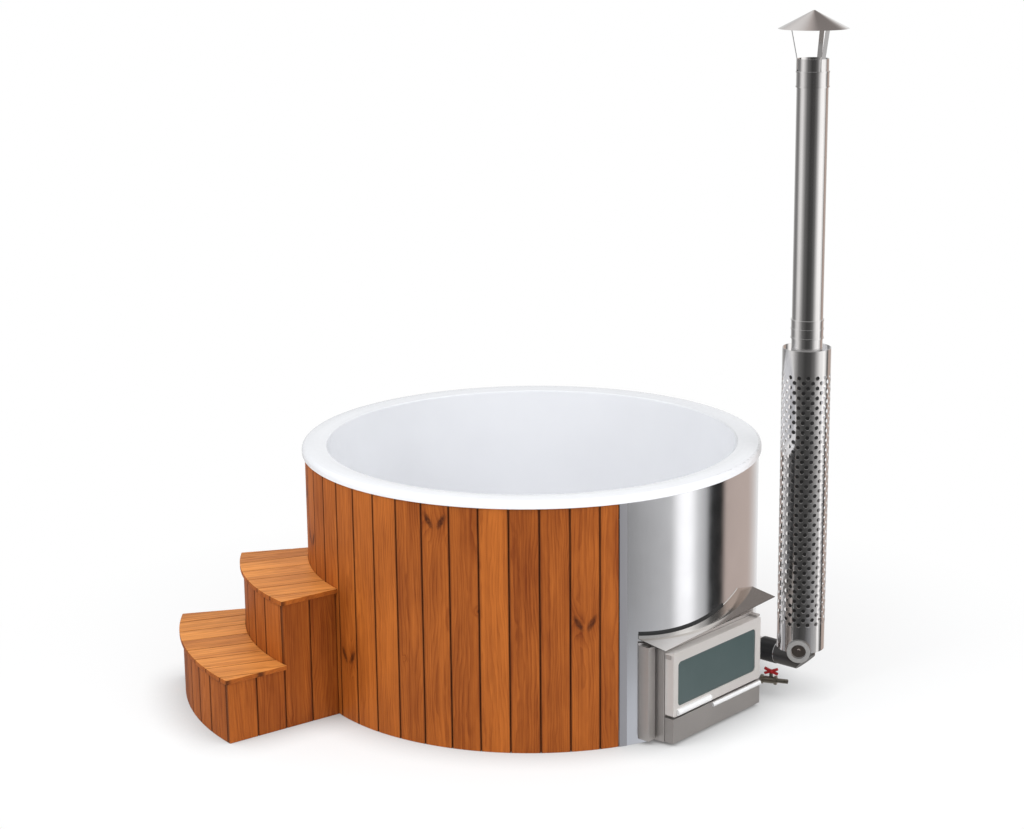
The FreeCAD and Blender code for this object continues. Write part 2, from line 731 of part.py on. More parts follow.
# Side posts: hollow columns outside the panel, open at the top, one each side of the stove
wall_face = rod("post_wall_face", "z", ("0", "0"), ("0 - overrun", "wall_height"), "tub_radius + clearance")
for label, y, groove, room in (
    ("stove_post_left", ("stove_left - post_width", "stove_left"),
     ("stove_left - post_groove_width", "stove_left + overrun"),
     ("stove_left - post_width + post_wall", "stove_left - post_groove_width - post_wall")),
    ("stove_post_right", ("stove_right", "stove_right + post_width"),
     ("stove_right - overrun", "stove_right + post_groove_width"),
     ("stove_right + post_groove_width + post_wall", "stove_right + post_width - post_wall")),
):
    post_back = "post_front - 2 * post_width"
    post_block = box(label + "_block", (post_back, "post_front"), y, ("post_bottom", "post_top"))
    post_groove = box(label + "_groove", ("post_front - post_groove_depth", "post_front + overrun"), groove,
                      ("post_bottom - overrun", "post_top + overrun"))
    post_room = box(label + "_room", ("post_front - post_groove_depth", "post_front - post_wall"), room,
                    ("post_bottom + post_wall", "post_top + overrun"))
    node(cut(label + "_cut", post_block, post_groove, post_room, wall_face), label)


# Canopy: a sloping sheet with a flange along the wall, and a black seal on part of the flange
def slab(base, slope, low, high):
    """Wide slab between two distances from a sloping plane through a base point."""
    span = 2 * size("tub_radius")
    block = Part.makeBox(span, span, high - low, Vector(-span / 2, -span / 2, low))
    block.Placement = Placement(base, slope)
    return block


def slope_of(name):
    """Slope of the sheet or of the flange's top edge: up to the wall, and a little up to the right."""
    pitch = Rotation(Vector(0, 1, 0), size(name + "_pitch_angle"))
    return pitch.multiply(Rotation(Vector(1, 0, 0), size(name + "_roll_angle")))


def canopy_slab(low, high):
    return slab(Vector(size("canopy_front"), 0, size("canopy_level")), slope_of("canopy"), low, high)


def flange_slab(low, high):
    level = size("canopy_level") + size("canopy_flange")
    return slab(Vector(size("canopy_front"), 0, level), slope_of("flange"), low, high)


def wall_band(inner, outer, end_angle):
    """Ring sector along the wall behind the canopy, tall enough for any slab."""
    half = size("canopy_half_angle")
    height = size("wall_height")
    band = Part.makeCylinder(outer, height, Vector(), Vector(0, 0, 1), half + end_angle)
    band.rotate(Vector(), Vector(0, 0, 1), -half)
    return band.cut(Part.makeCylinder(inner, height))


def flange_shape(inner, outer):
    """Upright strip between the sheet and its own top edge, sloping down to the sheet's right corner."""
    half = size("canopy_half_angle")
    tall = size("wall_height")
    corner = polar(inner, half)
    normal = slope_of("canopy").multVec(UP)
    fall = normal.x * (corner.x - size("canopy_front")) + normal.y * corner.y
    corner.z = size("canopy_level") - fall / normal.z
    end_slope = Rotation(Vector(1, 0, 0), size("flange_end_angle"))
    strip = wall_band(inner, outer, half).common(canopy_slab(-size("canopy_thickness"), tall))
    return strip.common(flange_slab(-tall, 0)).common(slab(corner, end_slope, -tall, 0))


def canopy_shape():
    half = size("canopy_half_angle")
    inner = size("tub_radius") + size("clearance")
    front = size("canopy_front")
    corners = [
        polar(inner, -half),
        Vector(front + size("canopy_left_reach"), size("canopy_left_front"), 0),
        Vector(front, size("canopy_right_front"), 0),
        polar(inner, half),
    ]
    plan = Part.Face(Part.makePolygon([Vector()] + corners + [Vector()]))
    column = plan.extrude(UP * size("wall_height")).cut(Part.makeCylinder(inner, size("wall_height")))
    plate = column.common(canopy_slab(-size("canopy_thickness"), 0))
    return plate.fuse(flange_shape(inner, inner + size("canopy_thickness"))).removeSplitter()


def seal_shape():
    start = size("clearance")
    inner = size("tub_radius") + size("clearance")
    band = wall_band(inner, inner + size("seal_depth"), size("seal_end_angle"))
    return band.common(flange_slab(start, start + size("seal_height")))


node(feature("canopy_sheet", canopy_shape()), "stove_canopy")
node(feature("canopy_seal_strip", seal_shape()), "canopy_seal")

# Fire door: a folded tray with a window, its glass, retainer and gasket
HINGE = ("hinge_out", "hinge_side")
FRONT_Y = ("front_left", "front_right")
DOOR_Z = ("door_bottom", "door_top")
door_block = rounded_plate("door_block", ("door_seat", "front_face"), FRONT_Y, DOOR_Z, "door_corner")
INSIDE_Y = ("front_left + door_skin", "front_right - door_skin")
INSIDE_Z = ("door_bottom + door_skin", "door_top - door_skin")
door_room = rounded_plate("door_room", ("front_seat - overrun", "front_face - door_skin"),
                          INSIDE_Y, INSIDE_Z, "(door_corner - door_skin)")
WINDOW_Y = ("window_left", "window_right")
WINDOW_Z = ("window_bottom", "window_top")
door_window = rounded_plate("door_window", ("front_face - overrun", "front_face + overrun"),
                            WINDOW_Y, WINDOW_Z, "window_corner")
pin_hole = rod("door_pin_hole", "z", HINGE, ("door_bottom - overrun", "door_top + overrun"),
               "hinge_pin_radius + running_clearance")
node(cut("door_cut", door_block, door_room, door_window, pin_hole), "door_frame")

node(rounded_plate("glass_plate", ("glass_back", "glass_front"),
                   ("window_left - glass_lap", "window_right + glass_lap"),
                   ("window_bottom - glass_lap", "window_top + glass_lap"), "window_corner"), "door_glass")

SNUG_Y = ("front_left + door_skin + clearance", "front_right - door_skin - clearance")
SNUG_Z = ("door_bottom + door_skin + clearance", "door_top - door_skin - clearance")
SNUG_CORNER = "(door_corner - door_skin - clearance)"
retainer_x = ("glass_back - clearance - retainer_depth", "glass_back - clearance")
retainer_hole = rounded_plate("retainer_hole", (retainer_x[0] + " - overrun", retainer_x[1] + " + overrun"),
                              WINDOW_Y, WINDOW_Z, "window_corner")
retainer_block = rounded_plate("retainer_block", retainer_x, SNUG_Y, SNUG_Z, SNUG_CORNER)
node(cut("retainer_cut", retainer_block, retainer_hole), "glass_retainer")

gasket_hole = box("gasket_hole", ("gasket_seat - overrun", "gasket_seat + gasket_depth + overrun"),
                  (SNUG_Y[0] + " + gasket_width", SNUG_Y[1] + " - gasket_width"),
                  (SNUG_Z[0] + " + gasket_width", SNUG_Z[1] + " - gasket_width"))
gasket_block = rounded_plate("gasket_block", ("gasket_seat", "gasket_seat + gasket_depth"), SNUG_Y, SNUG_Z,
                             SNUG_CORNER)
node(cut("gasket_cut", gasket_block, gasket_hole), "door_gasket")


def half_round_handle(name, side, level, radius):
    """Half-round grip bar along Y on the front face."""
    roll = rod(name + "_roll", "y", ("front_face", level), side, radius)
    rear = box(name + "_rear", ("front_face - 2 * " + radius, "front_face"),
               (side[0] + " - overrun", side[1] + " + overrun"),
               ("%s - 2 * %s" % (level, radius), "%s + 2 * %s" % (level, radius)))
    return cut(name, roll, rear)


node(half_round_handle("door_lip", ("door_handle_left", "door_handle_right"), "door_handle_level",
                       "handle_radius"), "door_handle")

# Door hinges: a bracket on the front plate under and over the door's right end, each with its pivot pin
hinges = []
for name, bracket_z, pin_z in (
    ("low", ("door_bottom - hinge_gap - bracket_thickness", "door_bottom - hinge_gap"),
     ("door_bottom - hinge_gap", "door_bottom + hinge_pin_reach")),
    ("high", ("door_top + hinge_gap", "door_top + hinge_gap + bracket_thickness"),
     ("door_top - hinge_pin_reach", "door_top + hinge_gap")),
):
    bracket = box("hinge_bracket_" + name, ("stove_front", "hinge_out + bracket_reach"),
                  ("hinge_side - bracket_width / 2", "hinge_side + bracket_width / 2"), bracket_z)
    pin = rod("hinge_pin_" + name, "z", HINGE, pin_z, "hinge_pin_radius")
    hinges.append(fuse("hinge_" + name, bracket, pin))
node(group("hinge_group", hinges), "hinge_brackets")

node(box("catch_block", ("door_seat + catch_depth", "door_seat + catch_depth + catch_length"),
         ("front_left - catch_depth", "front_left"),
         ("door_top - door_corner - catch_height", "door_top - door_corner")), "door_catch")

# Ash drawer: a tray on the firebox floor, a folded front and a grip bar
DRAWER_Y = ("fire_left + firebox_wall + 2 * window_margin", "fire_right - firebox_wall - 2 * window_margin")
drawer_tray = box("drawer_tray", ("drawer_back", "front_seat"), DRAWER_Y, ("drawer_floor", "drawer_top"))
drawer_room = box("drawer_room", ("drawer_back + drawer_skin", "stove_front - plate_thickness"),
                  (DRAWER_Y[0] + " + drawer_skin", DRAWER_Y[1] + " - drawer_skin"),
                  ("drawer_floor + drawer_skin", "drawer_top + overrun"))
DRAWER_FRONT_Z = ("drawer_front_bottom", "drawer_front_top")
drawer_face = box("drawer_face", ("front_seat", "front_face"), FRONT_Y, DRAWER_FRONT_Z)
drawer_hollow = box("drawer_hollow", ("front_seat + drawer_skin", "front_face - drawer_skin"),
                    ("front_left + drawer_skin", "front_right - drawer_skin"),
                    ("drawer_front_bottom + drawer_skin", "drawer_front_top - drawer_skin"))
node(cut("drawer_tray_cut", drawer_tray, drawer_room), "ash_drawer")
node(cut("drawer_face_cut", drawer_face, drawer_hollow), "drawer_front")
node(half_round_handle("drawer_lip", ("drawer_handle_left", "drawer_handle_right"), "drawer_handle_level",
                       "drawer_handle_radius"), "drawer_handle")

# Flue: a smoke box beside the firebox, a pipe out through the panel and a mitred elbow with a cleaning port
smoke_block = box("smoke_block", ("smoke_box_back", "smoke_box_front"), ("stove_right", "smoke_box_end"),
                  ("smoke_box_bottom", "smoke_box_top"))
neck = neck_block("smoke_neck", ("fire_right - firebox_wall", "stove_right + sheet_wall"), "0")
smoke_room = box("smoke_room", ("smoke_box_back + sheet_wall", "smoke_box_front - sheet_wall"),
                 ("stove_right + sheet_wall", "smoke_box_end - sheet_wall"),
                 ("smoke_box_bottom + sheet_wall", "smoke_box_top - sheet_wall"))
NECK_BORE = ("fire_right - overrun", "stove_right + overrun")
neck_room = neck_block("smoke_neck_room", NECK_BORE, "(0 - sheet_wall)")
smoke_outlet = rod("smoke_outlet", "x", FLUE, ("smoke_box_front - overrun", "smoke_box_front + overrun"),
                   "flue_radius + clearance")
smoke_blank = fuse("smoke_box_blank", smoke_block, neck)
node(cut("smoke_box_cut", smoke_blank, smoke_room, neck_room, smoke_outlet), "smoke_box")
node(tube("flue_tube", "x", FLUE, ("flue_start", "flue_end"), "flue_radius", "flue_radius - sheet_wall"),
     "flue_pipe")
node(tube("flue_sleeve_tube", "x", FLUE, ("flue_sleeve_start", "flue_sleeve_end"),
          "flue_radius + clearance + flue_sleeve_wall", "flue_radius + clearance"), "flue_sleeve")


def port_rod(radius, start, end):
    """Cylinder on the cleaning port's axis, from one distance to another off the chimney's axis."""
    out = polar(1, size("port_angle"))
    centre = Vector(size("chimney_out"), size("flue_side"), size("port_level"))
    return Part.makeCylinder(radius, end - start, centre + out * start, out)


def elbow_form(horizontal, vertical, grow):
    """Solid form of the elbow: a level pipe, its far end cut off askew, into a standing one."""
    out = size("chimney_out")
    side = size("flue_side")
    start = size("elbow_start") - grow
    wide = 4 * size("chimney_radius")
    level = Part.makeCylinder(horizontal, out + vertical - start, Vector(start, side, size("flue_level")),
                              Vector(1, 0, 0))
    beyond = Part.makeBox(wide, wide, wide, Vector(out, side - wide / 2, 0))
    round_end = Part.makeCylinder(vertical - size("clearance"), wide, Vector(out, side, 0))
    level = level.cut(beyond.cut(round_end))
    corner = Part.makeBox(wide, wide, wide, Vector(0, -wide / 2, -wide))
    heel = Placement(Vector(size("elbow_cut_start") - 2 * grow, side, size("elbow_bottom")),
                     Rotation(Vector(0, 1, 0), -size("elbow_cut_angle")))
    corner.Placement = heel.multiply(corner.Placement)
    shoulder = size("elbow_shoulder") + grow
    standing = Part.makeCylinder(vertical, size("elbow_top") + grow - shoulder, Vector(out, side, shoulder))
    return level.cut(corner).fuse(standing)


def elbow_shape():
    wall = size("sheet_wall")
    socket = size("flue_radius") + size("clearance")
    outside = elbow_form(socket + wall, size("chimney_radius"), 0)
    outside = outside.fuse(port_rod(size("port_radius"), 0, size("port_reach")))
    hollow = elbow_form(socket, size("chimney_radius") - wall, wall)
    port = port_rod(size("port_bore"), 0, size("port_reach") + wall)
    return outside.cut(hollow).cut(port)


node(feature("elbow_body", elbow_shape()), "chimney_elbow")
plug_radius = size("port_bore") - size("running_clearance")
plug = port_rod(plug_radius, size("plug_face") - size("plug_length"), size("plug_face"))
knob = port_rod(size("plug_knob_radius"), size("plug_face"), size("plug_face") + size("plug_knob_length"))
node(feature("cleaning_plug_body", plug.fuse(knob)), "cleaning_plug")

# Chimney: two lengths of pipe, a coupling, a guard on spacers, and a rain cap on straps
PIPE_BORE = "chimney_radius - sheet_wall"
node(tube("pipe_low_tube", "z", CHIMNEY, ("elbow_top", "coupling_level"), "chimney_radius", PIPE_BORE),
     "chimney_pipe_lower")
node(tube("pipe_high_tube", "z", CHIMNEY, ("coupling_level", "chimney_top"), "chimney_radius", PIPE_BORE),
     "chimney_pipe_upper")


def beaded_sleeve(name, span, levels):
    """Sleeve round the pipe with raised beads at the given levels."""
    parts = [tube(name + "_tube", "z", CHIMNEY, span, "sleeve_outside", "sleeve_bore")]
    for index, level in enumerate(levels):
        parts.append(tube("%s_bead_%d" % (name, index), "z", CHIMNEY, (level, level + " + bead_height"),
                          "sleeve_outside + bead_depth", "sleeve_bore"))
    return fuse(name, *parts)


node(beaded_sleeve("coupling_sleeve", ("coupling_level - coupling_half", "coupling_level + coupling_half"),
                   ("coupling_level - coupling_half", "coupling_level - bead_height / 2",
                    "coupling_level + coupling_half - bead_height")), "pipe_coupling")
node(beaded_sleeve("adapter_sleeve", ("adapter_start", "adapter_end"),
                   ("adapter_start", "adapter_end - bead_height")), "cap_adapter")

guard_tube = tube("guard_tube", "z", CHIMNEY, ("guard_bottom", "guard_top"), "guard_radius",
                  "guard_radius - sheet_wall")
port_notch = port_rod(size("port_radius") + size("hole_clearance"), size("chimney_radius"),
                      size("guard_radius") + size("overrun"))
node(cut("guard_cut", guard_tube, feature("guard_port_notch", port_notch)), "chimney_guard")


def standing_at(shape, angle):
    """Turn a shape made beside the world's axis and stand it beside the chimney's axis."""
    shape.rotate(Vector(), Vector(0, 0, 1), angle)
    shape.translate(Vector(size("chimney_out"), size("flue_side"), 0))
    return shape


def spacer_shape(level):
    """Block that fills the gap between the pipe and the guard."""
    width = size("spacer_width")
    spacer = Part.makeBox(size("guard_radius"), width, size("spacer_height"), Vector(0, -width / 2, level))
    inside_guard = size("guard_radius") - size("sheet_wall") - size("clearance")
    ring = Part.makeCylinder(inside_guard, size("cap_apex"))
    return spacer.common(ring.cut(Part.makeCylinder(size("sleeve_bore"), size("cap_apex"))))


spacer_blocks = []
for spacer_level in (size("guard_bottom") + size("spacer_inset"), size("guard_top") - size("spacer_inset")):
    for index in range(SPACERS):
        spacer_angle = size("port_angle") + (index + 0.5) * FULL_TURN / SPACERS
        turned = standing_at(spacer_shape(spacer_level), spacer_angle)
        spacer_blocks.append(feature("spacer_%d" % len(spacer_blocks), turned))
node(group("spacer_group", spacer_blocks), "guard_spacers")


def cap_cone(name, drop):
    cone = doc.addObject("Part::Cone", name)
    bind(cone, {"Radius1": "cap_radius", "Radius2": "cap_tip_radius", "Height": "cap_height",
                "Placement.Base.x": "chimney_out", "Placement.Base.y": "flue_side",
                "Placement.Base.z": "cap_rim - " + drop})
    return cone


node(cut("cap_cut", cap_cone("cap_outside", "0"), cap_cone("cap_inside", "sheet_wall")), "rain_cap")


def strap_shape():
    """Flat strap: a foot on the pipe, then a leg that leans out to the underside of the cap."""
    wall = size("sheet_wall")
    foot = size("chimney_radius") + size("clearance")
    fall = (size("cap_apex") - size("cap_rim")) / (size("cap_radius") - size("cap_tip_radius"))
    seat = size("cap_rim") - wall + (size("cap_radius") - size("strap_reach")) * fall - size("clearance")
    top = size("chimney_top")
    outline = [
        Vector(foot, 0, top - size("strap_foot")),
        Vector(foot + wall, 0, top - size("strap_foot")),
        Vector(foot + wall, 0, top),
        Vector(size("strap_reach"), 0, seat),
        Vector(size("strap_reach") - wall, 0, seat),
        Vector(foot, 0, top),
    ]
    half = size("strap_width") / 2
    strap = Part.Face(Part.makePolygon(outline + outline[:1])).extrude(Vector(0, 2 * half, 0))
    strap.translate(Vector(0, -half, 0))
    return strap.cut(Part.makeCylinder(foot, size("cap_apex")))


straps = []
for index in range(STRAPS):
    strap_angle = size("strap_start_angle") + index * FULL_TURN / STRAPS
    straps.append(feature("strap_%d" % index, standing_at(strap_shape(), strap_angle)))
node(group("strap_group", straps), "cap_straps")

# Water pipes between the jacket and the foot well, with clamps and grilles
grilles = []
for name, level in (("lower", "water_pipe_low"), ("upper", "water_pipe_high")):
    axis_at = ("stove_centre", level)
    node(tube(name + "_water_tube", "x", axis_at, ("water_pipe_end", "stove_back"), "water_pipe_radius",
              "water_pipe_radius - sheet_wall"), "water_pipe_" + name)
    grille = rod(name + "_grille_disc", "x", axis_at,
                 ("water_pipe_end - grille_thickness", "water_pipe_end"), "grille_radius")
    pitch = "(2 * water_pipe_radius / %d)" % GRILLE_SLOTS
    grille_cuts = []
    for index in range(GRILLE_SLOTS):
        slot = "%s - water_pipe_radius + %d * %s + (%s - grille_slot) / 2" % (level, index, pitch, pitch)
        grille_cuts.append(box("%s_grille_slot_%d" % (name, index),
                               ("water_pipe_end - grille_thickness - overrun", "water_pipe_end + overrun"),
                               ("stove_centre - water_pipe_radius", "stove_centre + water_pipe_radius"),
                               (slot, slot + " + grille_slot")))
    grilles.append(cut(name + "_grille", grille, *grille_cuts))
node(group("grille_group", grilles), "water_grilles")
clamps = [
    tube("clamp_" + name, "x", ("stove_centre", level),
         ("stove_back - 2 * clamp_width", "stove_back - clamp_width"),
         "water_pipe_radius + clearance + sheet_wall", "water_pipe_radius + clearance")
    for name, level in (("low", "water_pipe_low"), ("high", "water_pipe_high"))
]
node(group("clamp_group", clamps), "pipe_clamps")


# Drain: a pipe from the foot well with one bend, then a ball valve with a hose tail
def drain_direction():
    return polar(1, size("drain_angle"))


def on_drain(reach, level):
    return drain_direction() * reach + Vector(0, 0, level)


def drain_pipe_shape():
    level = size("drain_level")
    start = Vector(size("drain_well_end"), size("drain_line"), level)
    corner = on_drain(size("drain_line") / math.sin(math.radians(size("drain_angle"))), level)
    end = on_drain(size("valve_start"), level)
    half_turn = math.radians(size("drain_angle")) / 2
    reach = size("drain_bend") * math.tan(half_turn)
    bend_start = corner - Vector(reach, 0, 0)
    bend_end = corner + drain_direction() * reach
    inward = (bend_start + bend_end) * 0.5 - corner
    middle = corner + inward.normalize() * (size("drain_bend") / math.cos(half_turn) - size("drain_bend"))
    path = Part.Wire([
        Part.LineSegment(start, bend_start).toShape(),
        Part.Arc(bend_start, middle, bend_end).toShape(),
        Part.LineSegment(bend_end, end).toShape(),
    ])

    def sweep(radius):
        ring = Part.Wire(Part.makeCircle(radius, start, Vector(1, 0, 0)))
        return path.makePipeShell([ring], True, False)

    return sweep(size("drain_radius")).cut(sweep(size("drain_radius") - size("sheet_wall")))


def drain_rod(radius, start, end):
    return Part.makeCylinder(radius, end - start, on_drain(start, size("drain_level")), drain_direction())


def valve_shape():
    start = size("valve_start")
    end = size("valve_end")
    nut = size("valve_nut")
    across = size("valve_radius")
    bore = size("tail_radius") - size("sheet_wall")
    body = drain_rod(across - size("sheet_wall"), start, end)
    for nut_start in (start, end - nut):
        hexagon = Part.makePolygon([polar(across / math.cos(math.pi / 6), 60 * index) for index in range(7)])
        nut_block = Part.Face(hexagon).extrude(Vector(0, 0, nut))
        nut_block.Placement = Placement(on_drain(nut_start, size("drain_level")),
                                        Rotation(Vector(0, 0, 1), drain_direction()))
        body = body.fuse(nut_block)
    gland_height = size("gland_top") - size("drain_level")
    gland = Part.makeCylinder(size("stem_radius") + size("gland_wall"), gland_height,
                              on_drain(size("stem_reach"), size("drain_level")))
    body = body.fuse(gland).cut(drain_rod(bore, start - size("overrun"), end + size("overrun")))
    stem_bore = Part.makeCylinder(size("stem_radius") + size("running_clearance"), size("overrun"),
                                  on_drain(size("stem_reach"), size("gland_top") - size("stem_radius")))
    return body.cut(stem_bore)


def tail_shape():
    bore = size("tail_radius") - size("sheet_wall")
    tail = drain_rod(size("tail_radius"), size("valve_end"), size("tail_end"))
    return tail.cut(drain_rod(bore, size("valve_end") - size("overrun"), size("tail_end") + size("overrun")))


def lever_shape():
    """Butterfly handle on its stem: a hub with two forked wings, each of a rising and a falling arm."""
    hub_bottom = size("lever_level")
    hub = Part.makeCylinder(size("lever_hub"), size("lever_thickness"), Vector(0, 0, hub_bottom))
    stem_start = size("gland_top") - size("stem_radius") + size("clearance")
    stem = Part.makeCylinder(size("stem_radius"), hub_bottom - stem_start, Vector(0, 0, stem_start))
    lever = hub.fuse(stem)
    length = size("lever_length")
    width = size("lever_width")
    thick = size("lever_thickness")
    for turn in (0, FULL_TURN / 2):
        for rise in (size("lever_rise_angle"), -size("lever_rise_angle")):
            arm = Part.makeBox(length, width, thick, Vector(0, -width / 2, -thick / 2))
            arm = arm.fuse(Part.makeCylinder(width / 2, thick, Vector(length, 0, -thick / 2)))
            arm.rotate(Vector(), Vector(0, 1, 0), -rise)
            arm.translate(Vector(0, 0, hub_bottom + thick / 2))
            arm.rotate(Vector(), Vector(0, 0, 1), turn)
            lever = lever.fuse(arm)
    lever = lever.removeSplitter()
    lever.rotate(Vector(), Vector(0, 0, 1), size("drain_angle"))
    lever.translate(on_drain(size("stem_reach"), 0))
    return lever


node(feature("drain_pipe_run", drain_pipe_shape()), "drain_pipe")
node(feature("drain_valve_body", valve_shape()), "drain_valve")
node(feature("hose_tail_body", tail_shape()), "hose_tail")
node(feature("drain_lever_body", lever_shape()), "drain_handle")


# Steps: a block of two curved steps against the tub's wall
def step_centre():
    return polar(size("step_shift"), size("step_shift_angle"))


def end_line(angle, offset):
    """Point and direction of an end face: offset is its distance from the curve's centre."""
    along = polar(1, angle)
    return step_centre() + Vector(along.y, -along.x, 0) * offset, along


def circle_reach(point, along, centre, radius):
    """Distance along a line to where it leaves a circle."""
    to_point = point - centre
    nearest = to_point.dot(along)
    return math.sqrt(nearest ** 2 - to_point.dot(to_point) + radius ** 2) - nearest


def step_wedge(height, back_offset, grow):
    """Tall block between the two end faces, moved outward by grow."""
    far = 2 * size("step_lower_radius")
    front_point, front_along = end_line(size("step_front_angle"), size("step_front_offset") - grow)
    back_point, back_along = end_line(size("step_back_angle"), back_offset + grow)
    corners = [front_point, front_point + front_along * far, back_point + back_along * far, back_point]
    return Part.Face(Part.makePolygon(corners + corners[:1])).extrude(Vector(0, 0, height))


def step_disc(radius, bottom, top):
    return Part.makeCylinder(radius, top - bottom, step_centre() + Vector(0, 0, bottom))


def tub_wall():
    return Part.makeCylinder(size("tub_radius") + size("clearance"), size("wall_height"))


def saw(point, angle, thickness):
    """Thin tall block along a direction from a point."""
    blade = Part.makeBox(2 * size("step_lower_radius"), thickness, size("wall_height"),
                         Vector(0, -thickness / 2, 0))
    blade.rotate(Vector(), Vector(0, 0, 1), angle)
    blade.translate(point)
    return blade


def sawn(shape, blades):
    """The separate boards left when saw cuts are taken out of a shape."""
    return Part.Compound(shape.cut(Part.Compound(blades)).Solids)


STEPS = {
    "upper": ("step_upper_radius", "step_upper_top", "step_upper_back_offset"),
    "lower": ("step_lower_radius", "step_lower_top", "step_lower_back_offset"),
}


def step_sizes(which):
    return [size(alias) for alias in STEPS[which]]


def tread_shape(which):
    """Boards side by side, cut to the curve and to the end lines with an overhang."""
    radius, top, back_offset = step_sizes(which)
    overhang = size("tread_overhang")
    tread = step_disc(radius + overhang, top - size("tread_thickness"), top)
    tread = tread.common(step_wedge(top, back_offset, overhang)).cut(tub_wall())
    if which == "lower":
        tread = tread.cut(step_disc(size("step_upper_radius") + size("clearance"), 0, top))
    angle = size("tread_board_angle")
    blades = []
    for index in range(-TREAD_CUTS, TREAD_CUTS):
        start, _ = end_line(angle, size("step_front_offset") + index * size("step_board_pitch"))
        blades.append(saw(start, angle, size("tread_board_gap")))
    return sawn(tread, blades)


def riser_shape(which):
    """Upright boards along the curve, between the end boards."""
    radius, top, back_offset = step_sizes(which)
    height = top - size("tread_thickness") - size("clearance")
    inset = size("step_board") + size("clearance")
    riser = step_disc(radius, 0, height).cut(step_disc(radius - size("step_board"), 0, height))
    riser = riser.common(step_wedge(height, back_offset, -inset)).cut(tub_wall())
    pitch = math.degrees(size("step_board_pitch") / radius)
    blades = [
        saw(step_centre(), size("step_front_angle") - index * pitch, size("step_board_gap"))
        for index in range(1, 2 * TREAD_CUTS)
    ]
    return sawn(riser, blades)


def end_boards_shape(which_end):
    """Upright boards on one end of the block: two under each tread."""
    board = size("step_board")
    gap = size("step_board_gap")
    overrun = size("overrun")
    solids = []
    for which in STEPS:
        radius, top, back_offset = step_sizes(which)
        height = top - size("tread_thickness") - size("clearance")
        angle, offset, side = {
            "front": (size("step_front_angle"), size("step_front_offset"), -board),
            "back": (size("step_back_angle"), back_offset, 0),
        }[which_end]
        point, along = end_line(angle, offset)
        inner = circle_reach(point, along, Vector(), size("tub_radius"))
        if which == "lower":
            inner = circle_reach(point, along, step_centre(), size("step_upper_radius"))
        outer = circle_reach(point, along, step_centre(), radius)
        middle = (inner + outer) / 2
        for start, end in ((inner - overrun, middle - gap / 2), (middle + gap / 2, outer + overrun)):
            block = Part.makeBox(end - start, board, height, Vector(start, side, 0))
            block.rotate(Vector(), Vector(0, 0, 1), angle)
            block.translate(point)
            block = block.common(step_disc(radius, 0, height)).cut(tub_wall())
            if which == "lower":
                block = block.cut(step_disc(size("step_upper_radius") + gap, 0, height))
            solids.extend(block.Solids)
    return Part.Compound(solids)


def rails_shape():
    """Curved rails inside the risers, under the treads."""
    solids = []
    inset = size("step_board") + size("clearance")
    for which in STEPS:
        radius, top, back_offset = step_sizes(which)
        high = top - size("tread_thickness")
        low = high - size("step_rail")
        outer = radius - size("step_board") - size("clearance")
        ring = step_disc(outer, low, high).cut(step_disc(outer - size("step_rail"), low, high))
        solids.extend(ring.common(step_wedge(high, back_offset, -inset)).cut(tub_wall()).Solids)
    return Part.Compound(solids)


for which in STEPS:
    node(feature("tread_%s" % which, tread_shape(which)), "step_tread_" + which)
    node(feature("riser_%s" % which, riser_shape(which)), "step_riser_" + which)
step_ends = [feature("end_%s" % which_end, end_boards_shape(which_end)) for which_end in ("front", "back")]
node(group("step_end_group", step_ends), "step_end_boards")
node(feature("step_rails_body", rails_shape()), "step_rails")

doc.recompute()
for obj in doc.Objects:
    if "Invalid" in obj.State or "Error" in obj.State:
        raise RuntimeError("%s did not build: %s" % (obj.Name, obj.State))
os.makedirs("parts", exist_ok=True)
for obj in NODES:
    if obj.Shape.isNull() or not obj.Shape.isValid() or not obj.Shape.Solids:
        raise RuntimeError("%s has no valid solid" % obj.Label)
for obj in NODES:
    obj.Shape.exportStep("parts/%s.step" % obj.Label)
print("%d nodes, %d solids" % (len(NODES), sum(len(obj.Shape.Solids) for obj in NODES)))
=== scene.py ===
"""Looks of a round wood-fired hot tub: varnished pine boards, a white basin, stainless stove and chimney."""

import json
import math
import random

import bmesh
import bpy
from mathutils import Matrix, Vector

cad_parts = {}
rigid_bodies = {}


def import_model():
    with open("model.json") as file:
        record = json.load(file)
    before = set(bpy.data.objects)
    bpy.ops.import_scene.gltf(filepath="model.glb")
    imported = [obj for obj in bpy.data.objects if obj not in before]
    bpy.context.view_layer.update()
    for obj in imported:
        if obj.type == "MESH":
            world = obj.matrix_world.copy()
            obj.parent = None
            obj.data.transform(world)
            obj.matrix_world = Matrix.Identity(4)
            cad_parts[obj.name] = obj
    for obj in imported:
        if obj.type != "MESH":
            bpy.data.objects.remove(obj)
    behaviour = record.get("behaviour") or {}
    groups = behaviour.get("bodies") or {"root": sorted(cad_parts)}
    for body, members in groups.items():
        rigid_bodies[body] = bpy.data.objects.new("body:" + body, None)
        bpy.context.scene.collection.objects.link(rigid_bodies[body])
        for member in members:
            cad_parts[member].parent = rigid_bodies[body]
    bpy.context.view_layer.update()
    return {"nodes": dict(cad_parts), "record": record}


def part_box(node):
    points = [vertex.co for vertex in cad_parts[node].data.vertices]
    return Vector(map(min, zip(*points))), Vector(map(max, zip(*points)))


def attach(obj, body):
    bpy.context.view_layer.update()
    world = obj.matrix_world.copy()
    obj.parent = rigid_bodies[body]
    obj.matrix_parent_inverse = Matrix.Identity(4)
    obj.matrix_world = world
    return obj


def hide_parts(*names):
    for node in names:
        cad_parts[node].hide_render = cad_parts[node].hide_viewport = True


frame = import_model()
NODES = frame["nodes"]
ROOT = "tub"

